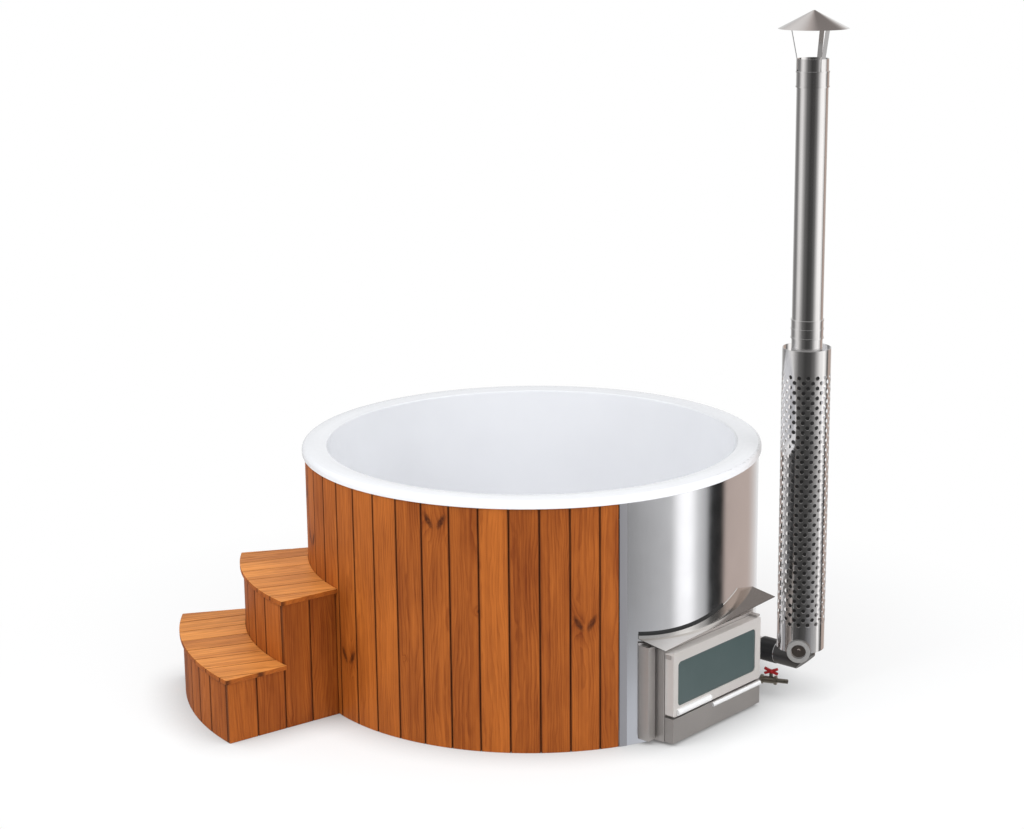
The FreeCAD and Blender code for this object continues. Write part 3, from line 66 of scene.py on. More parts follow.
# Chimney's axis, cleaning port in its elbow, and guard, in metres
# The guard has staggered round holes between two plain bands
CHIMNEY = Vector((1.061, 0.543, 0.0))
PORT_AZIMUTH = math.radians(-60)
PORT_OUT = Vector((math.cos(PORT_AZIMUTH), math.sin(PORT_AZIMUTH), 0))
PORT_FACE = 0.114
GUARD_TOP = 1.519
GUARD_RADIUS = 0.102
GUARD_WALL = 0.002
GUARD_PLAIN_TOP = 0.3134
GUARD_HOLES_TOP = 1.4158
GUARD_COLUMNS = 32
GUARD_ROWS = 52
GUARD_HOLE = 0.0092
HOLE_POINTS = 16
# Between the guard and the pipe inside it: from here inwards the steel is painted near black, a painted shade
# inside the guard
PAINTED_SHADE_FROM = 0.090
PAINTED_SHADE_FULL = 0.080

# Direction of the tread boards, across the boards on the step ends, and the centre of the curved risers
TREAD_AZIMUTH = math.radians(-119.0)
TREAD_ALONG = Vector((math.cos(TREAD_AZIMUTH), math.sin(TREAD_AZIMUTH), 0))
STEP_CENTRE = Vector((-0.1434, -0.1691, 0))
UP = Vector((0, 0, 1))


class Shading:
    """Short ways to add nodes to one shader tree."""

    def __init__(self, tree):
        self.tree = tree

    def set(self, socket, value):
        if isinstance(value, bpy.types.NodeSocket):
            self.tree.links.new(value, socket)
        elif isinstance(value, (tuple, list)) and len(value) == 3 and socket.type == "RGBA":
            socket.default_value = (*value, 1)
        else:
            socket.default_value = value

    def add(self, kind, inputs=(), **settings):
        node = self.tree.nodes.new("ShaderNode" + kind)
        for key, value in settings.items():
            setattr(node, key, value)
        for key, value in dict(inputs).items():
            self.set(node.inputs[key], value)
        return node

    def math(self, operation, *values, clamp=False):
        node = self.add("Math", operation=operation, use_clamp=clamp)
        for socket, value in zip(node.inputs, values):
            self.set(socket, value)
        return node.outputs[0]

    def vector(self, operation, *values, output="Vector"):
        node = self.add("VectorMath", operation=operation)
        for socket, value in zip(node.inputs, values):
            self.set(socket, value)
        return node.outputs[output]

    def mix(self, factor, first, second, blend="MIX"):
        node = self.add("Mix", data_type="RGBA", blend_type=blend)
        for index, value in ((0, factor), (6, first), (7, second)):
            self.set(node.inputs[index], value)
        return node.outputs[2]

    def ramp(self, value, stops, smooth="LINEAR"):
        node = self.add("ValToRGB", {"Fac": value})
        node.color_ramp.interpolation = smooth
        while len(node.color_ramp.elements) < len(stops):
            node.color_ramp.elements.new(0.5)
        for element, (position, colour) in zip(node.color_ramp.elements, stops):
            element.position = position
            element.color = (colour, colour, colour, 1) if isinstance(colour, float) else (*colour, 1)
        return node.outputs["Color"]

    def spread(self, value, low, high, to_low=0.0, to_high=1.0):
        """Value from one range to another, clamped."""
        inputs = {"Value": value, "From Min": low, "From Max": high, "To Min": to_low, "To Max": to_high}
        return self.add("MapRange", inputs).outputs["Result"]

    def noise(self, vector, scale, detail=2.0, roughness=0.5):
        inputs = {"Vector": vector, "Scale": scale, "Detail": detail, "Roughness": roughness}
        return self.add("TexNoise", inputs).outputs["Fac"]

    def split(self, vector):
        return self.add("SeparateXYZ", {"Vector": vector}).outputs

    def join(self, x, y, z):
        return self.add("CombineXYZ", {"X": x, "Y": y, "Z": z}).outputs[0]

    def bump(self, height, strength, distance):
        inputs = {"Height": height, "Strength": strength, "Distance": distance}
        return self.add("Bump", inputs).outputs["Normal"]


SOCKETS = {"colour": "NodeSocketColor", "value": "NodeSocketFloat", "vector": "NodeSocketVector"}


def effect(name, inputs, outputs):
    """Empty shader group with named sockets: its shading, its input sockets and its output node."""
    group = bpy.data.node_groups.new(name, "ShaderNodeTree")
    for label, kind, start in inputs:
        socket = group.interface.new_socket(label, in_out="INPUT", socket_type=SOCKETS[kind])
        socket.default_value = (*start, 1) if kind == "colour" else start
    for label, kind in outputs:
        group.interface.new_socket(label, in_out="OUTPUT", socket_type=SOCKETS[kind])
    given = group.nodes.new("NodeGroupInput").outputs
    out = group.nodes.new("NodeGroupOutput").inputs
    return Shading(group), given, out


# Slanted pair of knots: place of an arm beside the board's middle, its half lengths in metres and its lean,
# the distance from a pair to the next, and which boards have pairs
V_KNOT_SIDE = 0.028
V_KNOT_LENGTH = 0.034
V_KNOT_WIDTH = 0.0115
V_KNOT_LEAN = math.radians(28)
V_KNOT_STEP = 1.1
V_KNOT_TURN = 7.3
V_KNOT_SHARE = 0.24

# Noise on boards: how far two boards lie apart in it, and fibres and streaks per metre across and along
BOARD_SPACING = 37.0
FIBRES_ACROSS = 330.0
FIBRES_ALONG = 7.0
STREAKS_ACROSS = 85.0
STREAKS_ALONG = 1.3

# Darker edges of a board beside its joint: where they start and end, in metres, and how strong they are
JOINT_START = 0.007
JOINT_END = 0.0015
JOINT_DEPTH = 0.75
JOINT_ON_TOP = 0.25


# Effects that several finishes share
def make_pine_grain():
    """Growth rings, fibres, knots and patches of tone on a board: x across it, y along it, z through it."""
    s, given, out = effect(
        "pine_grain",
        [("Place", "vector", (0, 0, 0)), ("Board", "value", 0.0), ("Light", "colour", (0.5, 0.2, 0.05)),
         ("Dark", "colour", (0.2, 0.05, 0.01)), ("Knot", "colour", (0.06, 0.015, 0.004)),
         ("Ring Pitch", "value", 0.006), ("Knot Share", "value", 0.5)],
        [("Color", "colour"), ("Roughness", "value"), ("Height", "value")])
    across, along, through = s.split(given["Place"])[:3]
    board = s.math("MULTIPLY", given["Board"], BOARD_SPACING)

    def drawn(turn):
        """Number from 0 to 1 that each board keeps."""
        return s.math("FRACT", s.math("MULTIPLY", given["Board"], turn))

    lengthwise = s.join(s.math("MULTIPLY", across, 5.0), along, board)

    # Knots: small round ones anywhere on the board, and on some boards a slanted pair that makes a V
    spot_place = s.join(s.math("ADD", across, board), s.math("ADD", along, board), 0.0)
    spots = s.add("TexVoronoi", {"Vector": spot_place, "Scale": 3.6, "Randomness": 1.0})
    chosen = s.split(spots.outputs["Color"])
    spot_size = s.spread(chosen[0], s.math("SUBTRACT", 1.0, given["Knot Share"]), 1.0, 0.0, 0.035)
    spot_edge = s.math("DIVIDE", spots.outputs["Distance"], s.math("MAXIMUM", spot_size, 0.001))
    sideways = s.math("SUBTRACT", s.math("ABSOLUTE", across), V_KNOT_SIDE)
    shifted = s.math("ADD", along, s.math("MULTIPLY", board, 0.61))
    period = s.math("WRAP", shifted, V_KNOT_STEP / 2, -V_KNOT_STEP / 2)
    lengthways = s.math("ADD", s.math("MULTIPLY", period, math.cos(V_KNOT_LEAN)),
                        s.math("MULTIPLY", sideways, math.sin(V_KNOT_LEAN)))
    crossways = s.math("SUBTRACT", s.math("MULTIPLY", sideways, math.cos(V_KNOT_LEAN)),
                       s.math("MULTIPLY", period, math.sin(V_KNOT_LEAN)))
    arm = s.vector("LENGTH", s.join(s.math("DIVIDE", lengthways, V_KNOT_LENGTH),
                                    s.math("DIVIDE", crossways, V_KNOT_WIDTH), 0.0), output="Value")
    plain_board = s.math("GREATER_THAN", drawn(V_KNOT_TURN), V_KNOT_SHARE)
    arm_edge = s.math("ADD", arm, s.math("MULTIPLY", plain_board, 50.0))
    edge = s.math("MINIMUM", spot_edge, arm_edge)
    edge = s.math("ADD", edge, s.spread(s.noise(given["Place"], 70.0), 0.0, 1.0, -0.35, 0.35))
    knot = s.spread(edge, 1.30, 0.55)
    halo = s.spread(edge, 4.5, 0.8)

    # Rings round a far pith, bent by slow waves and round the knots
    wave = s.noise(lengthwise, 1.3, 2.0)
    ripple = s.noise(lengthwise, 6.0, 2.0)
    off_pith = s.math("ADD", across, s.spread(wave, 0.0, 1.0, -0.06, 0.06))
    off_pith = s.math("ADD", off_pith, s.spread(drawn(3.7), 0.0, 1.0, -0.05, 0.05))
    deep = s.math("ADD", through, s.spread(drawn(5.1), 0.0, 1.0, 0.012, 0.06))
    radius = s.vector("LENGTH", s.join(off_pith, deep, 0.0), output="Value")
    radius = s.math("ADD", radius, s.spread(ripple, 0.0, 1.0, -0.006, 0.006))
    radius = s.math("ADD", radius, s.math("MULTIPLY", halo, 0.010))
    ring = s.math("FRACT", s.math("DIVIDE", radius, given["Ring Pitch"]))
    late = s.ramp(ring, [(0.0, 0.0), (0.35, 0.12), (0.70, 0.6), (0.86, 1.0), (1.0, 0.0)], "EASE")

    # Fibres, streaks and slow patches of tone
    fibre_place = s.join(s.math("MULTIPLY", across, FIBRES_ACROSS), s.math("MULTIPLY", along, FIBRES_ALONG),
                         s.math("ADD", s.math("MULTIPLY", through, FIBRES_ACROSS), board))
    fibre = s.noise(fibre_place, 1.0, 3.0, 0.65)
    streak_across = s.math("MULTIPLY", across, STREAKS_ACROSS)
    streak_along = s.math("MULTIPLY", along, STREAKS_ALONG)
    streak_place = s.join(streak_across, streak_along, board)
    streak = s.noise(streak_place, 1.0, 3.0, 0.6)
    patch = s.noise(lengthwise, 2.6, 3.0, 0.6)

    depth = s.math("MULTIPLY", late, 0.26)
    depth = s.math("ADD", depth, s.spread(fibre, 0.25, 0.75, -0.10, 0.14))
    depth = s.math("ADD", depth, s.spread(streak, 0.25, 0.75, -0.20, 0.24))
    depth = s.math("ADD", depth, s.spread(patch, 0.25, 0.75, -0.24, 0.30))
    depth = s.math("ADD", depth, s.spread(drawn(11.9), 0.0, 1.0, -0.16, 0.22))
    depth = s.math("ADD", depth, s.math("MULTIPLY", halo, 0.22))
    colour = s.mix(s.math("ADD", depth, 0.22, clamp=True), given["Light"], given["Dark"])
    knot_depth = s.math("MULTIPLY", knot, s.spread(s.noise(given["Place"], 90.0, 2.0), 0.2, 0.8, 0.55, 1.0))
    s.set(out["Color"], s.mix(knot_depth, colour, given["Knot"]))
    coarse = s.math("ADD", fibre, s.math("MULTIPLY", late, 0.4))
    s.set(out["Roughness"], s.spread(coarse, 0.2, 1.1, 0.42, 0.58))
    raised = s.math("ADD", s.math("MULTIPLY", fibre, 0.55), s.math("MULTIPLY", late, 0.45))
    s.set(out["Height"], s.math("SUBTRACT", raised, s.math("MULTIPLY", knot, 0.3)))
    return s.tree


def make_rolled_steel():
    """Fine rolling lines along one axis, hazy handling marks and a slow change of tone."""
    s, given, out = effect(
        "rolled_steel",
        [("Place", "vector", (0, 0, 0)), ("Bright", "colour", (0.7, 0.7, 0.7)),
         ("Dull", "colour", (0.6, 0.6, 0.6)), ("Line Scale", "vector", (1.0, 1.0, 60.0)),
         ("Smooth", "value", 0.12), ("Hazy", "value", 0.25)],
        [("Color", "colour"), ("Roughness", "value"), ("Height", "value")])
    line_place = s.vector("MULTIPLY", given["Place"], given["Line Scale"])
    lines = s.noise(line_place, 12.0, 4.0, 0.7)
    haze = s.noise(given["Place"], 3.2, 3.0, 0.5)
    marks = s.noise(given["Place"], 9.0, 2.0, 0.5)
    tone = s.math("ADD", s.math("MULTIPLY", lines, 0.25), s.math("MULTIPLY", haze, 0.75))
    s.set(out["Color"], s.mix(s.spread(tone, 0.3, 0.7), given["Dull"], given["Bright"]))
    handled = s.math("ADD", s.math("MULTIPLY", marks, 0.7), s.math("MULTIPLY", lines, 0.3))
    s.set(out["Roughness"], s.spread(handled, 0.25, 0.75, given["Smooth"], given["Hazy"]))
    s.set(out["Height"], lines)
    return s.tree


def make_grime():
    """Mask of soft blotches with fine specks, for soot, dust and water marks."""
    s, given, out = effect(
        "grime", [("Place", "vector", (0, 0, 0)), ("Scale", "value", 6.0), ("Amount", "value", 0.5)],
        [("Mask", "value")])
    blotch = s.noise(given["Place"], given["Scale"], 5.0, 0.62)
    speck = s.noise(given["Place"], s.math("MULTIPLY", given["Scale"], 17.0), 2.0)
    value = s.math("ADD", s.math("MULTIPLY", blotch, 0.75), s.math("MULTIPLY", speck, 0.25))
    edge = s.math("SUBTRACT", 0.72, s.math("MULTIPLY", given["Amount"], 0.4))
    s.set(out["Mask"], s.spread(value, edge, s.math("ADD", edge, 0.2)))
    return s.tree


PINE_GRAIN = make_pine_grain()
ROLLED_STEEL = make_rolled_steel()
GRIME = make_grime()


def finish(name, **sockets):
    """New material: its shading, its Principled shader with the given plain values, and the material."""
    material = bpy.data.materials.new(name)
    material.use_nodes = True
    shader = material.node_tree.nodes["Principled BSDF"]
    s = Shading(material.node_tree)
    for label, value in sockets.items():
        s.set(shader.inputs[label.replace("_", " ")], value)
    return s, shader.inputs, material


def place(s):
    """Where a point of the object is, in metres."""
    return s.add("TexCoord").outputs["Object"]


def apply_effect(s, group, **inputs):
    """Outputs of a shared effect with the given inputs."""
    node = s.add("Group", node_tree=group)
    for label, value in inputs.items():
        s.set(node.inputs[label.replace("_", " ")], value)
    return node.outputs


def pine(name, light, dark, knot, ring_pitch, knot_share, bump, top_light_factor=1.0):
    """Boards of pine; faces that look up are lightened by the given factor, a painted light from above."""
    s, shader, material = finish(name, IOR=1.45, Specular_IOR_Level=0.18)
    grain = s.add("Attribute", attribute_name="grain_place").outputs["Vector"]
    half = s.add("Attribute", attribute_name="board_half").outputs["Fac"]
    board = s.add("Attribute", attribute_name="board_number").outputs["Fac"]
    wood = apply_effect(s, PINE_GRAIN, Place=grain, Board=board, Light=light, Dark=dark, Knot=knot,
                        Ring_Pitch=ring_pitch, Knot_Share=knot_share)
    facing_up = s.spread(s.split(s.add("TexCoord").outputs["Normal"])[2], 0.5, 0.9)
    from_joint = s.math("SUBTRACT", half, s.math("ABSOLUTE", s.split(grain)[0]))
    joint = s.spread(from_joint, JOINT_START, JOINT_END, 0.0, JOINT_DEPTH)
    joint = s.math("MULTIPLY", joint, s.spread(facing_up, 0.0, 1.0, 1.0, JOINT_ON_TOP))
    colour = s.mix(joint, wood["Color"], knot)
    # Painted light: faces that look up are lightened and made paler, as if lit from above
    painted_top_light = s.mix(1.0, colour, (top_light_factor, top_light_factor * 1.45, top_light_factor * 2.3), "MULTIPLY")
    s.set(shader["Base Color"], s.mix(facing_up, colour, painted_top_light))
    s.set(shader["Roughness"], wood["Roughness"])
    s.set(shader["Normal"], s.bump(wood["Height"], bump, 0.0008))
    return material


def sheet_shading(name, bright, dull, lines, smooth, hazy, bump, soot=0.0, soot_colour=None, metallic=1.0):
    """Rolled sheet, with blotches of soot where an amount is given: shading, shader sockets, material."""
    s, shader, material = finish(name, Metallic=metallic)
    sheet = apply_effect(s, ROLLED_STEEL, Place=place(s), Bright=bright, Dull=dull, Line_Scale=lines,
                         Smooth=smooth, Hazy=hazy)
    colour = sheet["Color"]
    roughness = sheet["Roughness"]
    if soot:
        mask = apply_effect(s, GRIME, Place=place(s), Scale=9.0, Amount=soot)["Mask"]
        colour = s.mix(mask, colour, soot_colour)
        roughness = s.math("ADD", roughness, s.math("MULTIPLY", mask, 0.35))
    s.set(shader["Base Color"], colour)
    s.set(shader["Roughness"], roughness)
    s.set(shader["Normal"], s.bump(sheet["Height"], bump, 0.0003))
    return s, shader, material


def steel(*settings, **more):
    """Material of a rolled sheet."""
    return sheet_shading(*settings, **more)[-1]


def overlay(s, shader, mask, colour, roughness, metallic):
    """Lay another coat over a finished steel where the mask is 1."""
    was = shader["Base Color"].links[0].from_socket
    s.set(shader["Base Color"], s.mix(mask, was, colour))
    was = shader["Roughness"].links[0].from_socket
    s.set(shader["Roughness"], s.spread(mask, 0.0, 1.0, was, roughness))
    s.set(shader["Metallic"], s.spread(mask, 0.0, 1.0, 1.0, metallic))


def chimney_steel():
    """Satin sheet; the pipe inside the guard is painted near black, as painted shade."""
    s, shader, material = sheet_shading("chimney_steel", (0.76, 0.74, 0.73), (0.68, 0.66, 0.65),
                                        (30.0, 30.0, 0.8), 0.09, 0.15, 0.02)
    x, y, z = s.split(s.vector("SUBTRACT", place(s), tuple(CHIMNEY)))[:3]
    radius = s.vector("LENGTH", s.join(x, y, 0.0), output="Value")
    inside = s.math("MULTIPLY", s.spread(radius, PAINTED_SHADE_FROM, PAINTED_SHADE_FULL),
                    s.spread(z, GUARD_TOP + 0.005, GUARD_TOP - 0.02))
    # Painted shade: the pipe inside the guard is near black and dull, so the guard's holes look dark
    overlay(s, shader, inside, (0.018, 0.017, 0.017), 0.6, 0.0)
    return material


def flue_steel():
    """Sheet dulled by heat, with a pale turned face on the cleaning port."""
    s, shader, material = sheet_shading("flue_steel", (0.17, 0.165, 0.16), (0.10, 0.098, 0.095),
                                        (4.0, 4.0, 4.0), 0.29, 0.38, 0.02)
    from_chimney = s.vector("SUBTRACT", place(s), tuple(CHIMNEY))
    out = s.vector("DOT_PRODUCT", from_chimney, tuple(PORT_OUT), output="Value")
    turned_face = s.spread(out, PORT_FACE - 0.002, PORT_FACE - 0.001)
    overlay(s, shader, turned_face, (0.36, 0.35, 0.34), 0.55, 0.2)
    return material


def plain_coat(name, colour, worn, roughness, scale, amount, bump=0.05, **sockets):
    """Paint, plastic, rubber or cast metal: a colour with blotches of a second one and a fine skin."""
    s, shader, material = finish(name, **sockets)
    mask = apply_effect(s, GRIME, Place=place(s), Scale=scale, Amount=amount)["Mask"]
    skin = s.noise(place(s), 900.0, 2.0)
    s.set(shader["Base Color"], s.mix(mask, colour, worn))
    s.set(shader["Roughness"], s.math("ADD", s.math("MULTIPLY", mask, 0.12), roughness))
    s.set(shader["Normal"], s.bump(skin, bump, 0.0004))
    return material


def basin_gel_coat():
    """White glossy shell with a faint waviness."""
    s, shader, material = finish("white_shell", IOR=1.5, Coat_Weight=0.35, Coat_Roughness=0.06)
    wave = s.noise(place(s), 5.0, 2.0)
    s.set(shader["Base Color"], s.mix(wave, (0.80, 0.805, 0.83), (0.84, 0.845, 0.865)))
    s.set(shader["Roughness"], s.spread(s.noise(place(s), 40.0, 3.0), 0.3, 0.7, 0.17, 0.25))
    s.set(shader["Normal"], s.bump(wave, 0.05, 0.002))
    return material


def sooted_glass():
    """Dark glass with a film of soot."""
    s, shader, material = finish("door_glass", IOR=1.5, Transmission_Weight=0.25, Coat_Weight=0.6,
                                 Coat_Roughness=0.02)
    film = s.noise(place(s), 7.0, 4.0, 0.6)
    s.set(shader["Base Color"], s.mix(film, (0.080, 0.114, 0.114), (0.106, 0.145, 0.143)))
    s.set(shader["Roughness"], s.spread(film, 0.2, 0.8, 0.05, 0.12))
    return material


# Finishes by slot, and three of single pieces; of these, the door frame's is a lighter copy of the stove
# steel, a painted light, and the drawer's a darker copy, a painted shade
# No sheet has a range of roughness that crosses 0.27, because such a range renders with specks
FINISHES = {
    "white_shell": basin_gel_coat(),
    # warm_wood's last value lightens the faces that look up: painted light from above
    "warm_wood": pine("warm_wood", (0.465, 0.129, 0.019), (0.167, 0.032, 0.004), (0.045, 0.010, 0.003),
                      0.0085, 0.30, 0.22, 1.9),
    "frame_wood": pine("frame_wood", (0.62, 0.43, 0.25), (0.36, 0.21, 0.10), (0.10, 0.04, 0.015),
                       0.006, 0.5, 0.35),
    "panel_steel": steel("panel_steel", (0.80, 0.80, 0.82), (0.72, 0.72, 0.74), (40.0, 40.0, 0.6),
                         0.08, 0.14, 0.02),
    "trim_steel": steel("trim_steel", (0.58, 0.57, 0.59), (0.50, 0.49, 0.51), (40.0, 40.0, 0.6),
                        0.29, 0.36, 0.02),
    "stove_steel": steel("stove_steel", (0.58, 0.545, 0.525), (0.51, 0.48, 0.46), (2.0, 2.0, 12.0),
                         0.29, 0.36, 0.01, metallic=0.72),
    # Painted light: the door frame's steel is a lighter copy of the stove steel
    "door_steel": steel("door_steel", (0.86, 0.82, 0.79), (0.78, 0.74, 0.71), (2.0, 2.0, 12.0),
                        0.29, 0.36, 0.01, metallic=0.65),
    # Painted shade: the drawer's steel is a darker copy of the stove steel
    "drawer_steel": steel("drawer_steel", (0.43, 0.405, 0.387), (0.378, 0.355, 0.342), (2.0, 2.0, 12.0),
                          0.29, 0.36, 0.01, metallic=0.72),
    "canopy_steel": steel("canopy_steel", (0.66, 0.64, 0.62), (0.58, 0.56, 0.54), (2.0, 12.0, 2.0),
                          0.12, 0.18, 0.01),
    # Painted highlight: near white with little metal, so these parts look bright as if mirroring a bright
    # light
    "bright_steel": steel("bright_steel", (0.97, 0.97, 0.97), (0.92, 0.92, 0.92), (30.0, 2.0, 30.0),
                          0.14, 0.20, 0.01, metallic=0.35),
    "chimney_steel": chimney_steel(),
    "flue_steel": flue_steel(),
    "heat_stained_steel": steel("heat_stained_steel", (0.44, 0.39, 0.36), (0.30, 0.25, 0.22), (3.0, 3.0, 3.0),
                                0.29, 0.40, 0.03, 0.35, (0.14, 0.09, 0.06)),
    "black_paint": plain_coat("black_paint", (0.012, 0.012, 0.013), (0.035, 0.032, 0.03),
                              0.42, 14.0, 0.5, 0.12),
    "fire_plate": steel("fire_plate", (0.16, 0.15, 0.14), (0.08, 0.075, 0.07), (4.0, 4.0, 4.0),
                        0.45, 0.65, 0.15, 0.8, (0.02, 0.018, 0.016)),
    "grate_iron": plain_coat("grate_iron", (0.035, 0.034, 0.034), (0.09, 0.05, 0.035),
                             0.62, 30.0, 0.55, 0.5, Metallic=0.7),
    "door_glass": sooted_glass(),
    "rope_gasket": plain_coat("rope_gasket", (0.05, 0.05, 0.05), (0.14, 0.13, 0.12),
                              0.85, 120.0, 0.6, 0.6),
    "black_rubber": plain_coat("black_rubber", (0.010, 0.010, 0.010), (0.03, 0.03, 0.03),
                               0.55, 20.0, 0.4, 0.1),
    "white_plastic": plain_coat("white_plastic", (0.78, 0.79, 0.80), (0.70, 0.70, 0.69),
                                0.32, 10.0, 0.3),
    "grey_plastic": plain_coat("grey_plastic", (0.30, 0.31, 0.32), (0.24, 0.24, 0.24),
                               0.40, 12.0, 0.4),
    "valve_brass": plain_coat("valve_brass", (0.27, 0.25, 0.21), (0.15, 0.12, 0.08),
                              0.30, 40.0, 0.45, 0.1, Metallic=1.0),
    "red_paint": plain_coat("red_paint", (0.36, 0.010, 0.012), (0.22, 0.008, 0.008),
                            0.35, 60.0, 0.4, 0.15),
}

SLOT_OF = {row["node"]: row["material_slot"] for row in frame["record"]["subparts"]}
OWN_FINISH = {"stove_canopy": "canopy_steel", "door_frame": "door_steel", "drawer_front": "drawer_steel"}


def finish_of(node):
    """Finish of the node's slot, unless the piece has one of its own."""
    return FINISHES[OWN_FINISH.get(node, SLOT_OF[node])]


# Meshes that start from a node's own mesh
SAME_POINT = 1e-6
FLAT_WITHIN = math.radians(0.5)
SHARP_OVER = math.radians(35)
SMOOTH_UNDER = math.radians(38)


def clean_mesh(node):
    """Copy of a node's mesh with its corners joined and its flat faces whole."""
    shape = bmesh.new()
    shape.from_mesh(NODES[node].data)
    bmesh.ops.remove_doubles(shape, verts=shape.verts, dist=SAME_POINT)
    bmesh.ops.dissolve_limit(shape, angle_limit=FLAT_WITHIN, verts=shape.verts, edges=shape.edges)
    return shape


def round_edges(shape, width):
    """Round every sharp edge."""
    corners = [edge for edge in shape.edges
               if len(edge.link_faces) == 2 and edge.calc_face_angle() > SHARP_OVER]
    bmesh.ops.bevel(shape, geom=corners, offset=width, segments=2, profile=0.5,
                    affect="EDGES", clamp_overlap=True)


def dressed(name, shape, body, node):
    """Object from a mesh, smooth over its roundings, that stands for a node."""
    mesh = bpy.data.meshes.new(name)
    shape.to_mesh(mesh)
    shape.free()
    mesh.shade_smooth()
    mesh.set_sharp_from_angle(angle=SMOOTH_UNDER)
    mesh.materials.append(finish_of(node))
    piece = bpy.data.objects.new(name, mesh)
    bpy.context.scene.collection.objects.link(piece)
    piece.modifiers.new("even_normals", "WEIGHTED_NORMAL").keep_sharp = True
    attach(piece, body)
    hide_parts(node)


def islands(shape):
    """Lists of vertices that hang together."""
    waiting = set(shape.verts)
    while waiting:
        seed = waiting.pop()
        island = [seed]
        for vert in island:
            for edge in vert.link_edges:
                other = edge.other_vert(vert)
                if other in waiting:
                    waiting.remove(other)
                    island.append(other)
        yield island


def number_boards(shape, directions, seed):
    """Give each board its number and half width, and each point its place across, along and through it."""
    picks = random.Random(seed)
    grain = shape.verts.layers.float_vector.new("grain_place")
    number = shape.verts.layers.float.new("board_number")
    half = shape.verts.layers.float.new("board_half")
    found = []
    for island in islands(shape):
        middle = sum((vert.co for vert in island), Vector()) / len(island)
        found.append((tuple(round(value, 4) for value in middle), island))
    for middle, island in sorted(found, key=lambda pair: pair[0]):
        middle = Vector(middle)
        across, along, through = directions(middle)
        shift = picks.uniform(0, 30)
        board = picks.random()
        while abs(along.z) < 0.5 and board * V_KNOT_TURN % 1 < 2 * V_KNOT_SHARE:
            board = picks.random()
        sides = [(vert.co - middle).dot(across) for vert in island]
        centre = (min(sides) + max(sides)) / 2
        for vert, side in zip(island, sides):
            offset = vert.co - middle
            vert[grain] = (side - centre, offset.dot(along) + shift, offset.dot(through))
            vert[number] = board
            vert[half] = (max(sides) - min(sides)) / 2


def upright_round(centre):
    """Directions of an upright board that faces away from a centre."""
    def directions(middle):
        outward = (middle - centre) * Vector((1, 1, 0))
        outward.normalize()
        return UP.cross(outward), UP, outward
    return directions


def upright_flat(across):
    """Directions of an upright board in a straight row."""
    return lambda middle: (across, UP, across.cross(UP))


def laid(along):
    """Directions of a flat board that runs along a line."""
    return lambda middle: (UP.cross(along), along, UP)


BOARDED = [
    *[("cladding_boards_%d" % index, upright_round(Vector()), 0.004) for index in range(1, 5)],
    ("step_riser_upper", upright_round(STEP_CENTRE), 0.002),
    ("step_riser_lower", upright_round(STEP_CENTRE), 0.002),
    ("step_tread_upper", laid(TREAD_ALONG), 0.003),
    ("step_tread_lower", laid(TREAD_ALONG), 0.003),
    ("step_end_boards", upright_flat(TREAD_ALONG), 0.002),
    ("base_joist_centre", laid(Vector((0, 1, 0))), 0.002),
    ("base_joists", laid(Vector((0, 1, 0))), 0.002),
    ("wall_studs", upright_round(Vector()), 0.002),
    ("bottom_hoop", upright_round(Vector()), 0.002),
    ("middle_hoop", upright_round(Vector()), 0.002),
    ("top_hoop", upright_round(Vector()), 0.002),
    ("step_rails", laid(TREAD_ALONG), 0.002),
    ("panel_battens", upright_round(Vector()), 0.002),
]
for seed, (node, directions, width) in enumerate(BOARDED):
    shape = clean_mesh(node)
    round_edges(shape, width)
    number_boards(shape, directions, seed)
    dressed(node + "_wood", shape, ROOT, node)

for name, node in NODES.items():
    node.data.materials.clear()
    node.data.materials.append(finish_of(name))


# Chimney guard
def on_guard(turn, height):
    """Point on the guard's outer face, by share of a whole turn and height."""
    angle = 2 * math.pi * turn
    return CHIMNEY + Vector((math.cos(angle), math.sin(angle), 0)) * GUARD_RADIUS + UP * height


def guard_holes():
    """Outer skin of the guard, where cells with a hole and plain cells take turns."""
    shape = bmesh.new()
    points = {}

    def point(column, row):
        key = (column % (2 * GUARD_COLUMNS), row)
        if key not in points:
            height = GUARD_PLAIN_TOP + (GUARD_HOLES_TOP - GUARD_PLAIN_TOP) * row / (2 * GUARD_ROWS)
            points[key] = shape.verts.new(on_guard(key[0] / (2 * GUARD_COLUMNS), height))
        return points[key]

    pitch = (GUARD_HOLES_TOP - GUARD_PLAIN_TOP) / GUARD_ROWS
    wide = GUARD_HOLE / (2 * math.pi * GUARD_RADIUS)
    border = [(1, 0), (1, 1), (0, 1), (-1, 1), (-1, 0), (-1, -1), (0, -1), (1, -1)]
    for row in range(GUARD_ROWS):
        for column in range(GUARD_COLUMNS):
            u = 2 * column + 1
            v = 2 * row + 1
            frame_points = [point(u + du, v + dv) for du, dv in border]
            if (row + column) % 2:
                centre = point(u, v)
                for index in (1, 3, 5, 7):
                    shape.faces.new((centre, frame_points[index - 1], frame_points[index],
                                     frame_points[(index + 1) % 8]))
                continue
            middle = GUARD_PLAIN_TOP + pitch * (row + 0.5)
            rim = []
            for index in range(HOLE_POINTS):
                angle = 2 * math.pi * index / HOLE_POINTS
                rim.append(shape.verts.new(on_guard(u / (2 * GUARD_COLUMNS) + wide * math.cos(angle),
                                                    middle + GUARD_HOLE * math.sin(angle))))
            for index in range(8):
                shape.faces.new((frame_points[index], frame_points[(index + 1) % 8],
                                 rim[(2 * index + 2) % HOLE_POINTS], rim[2 * index + 1], rim[2 * index]))
    return shape, point


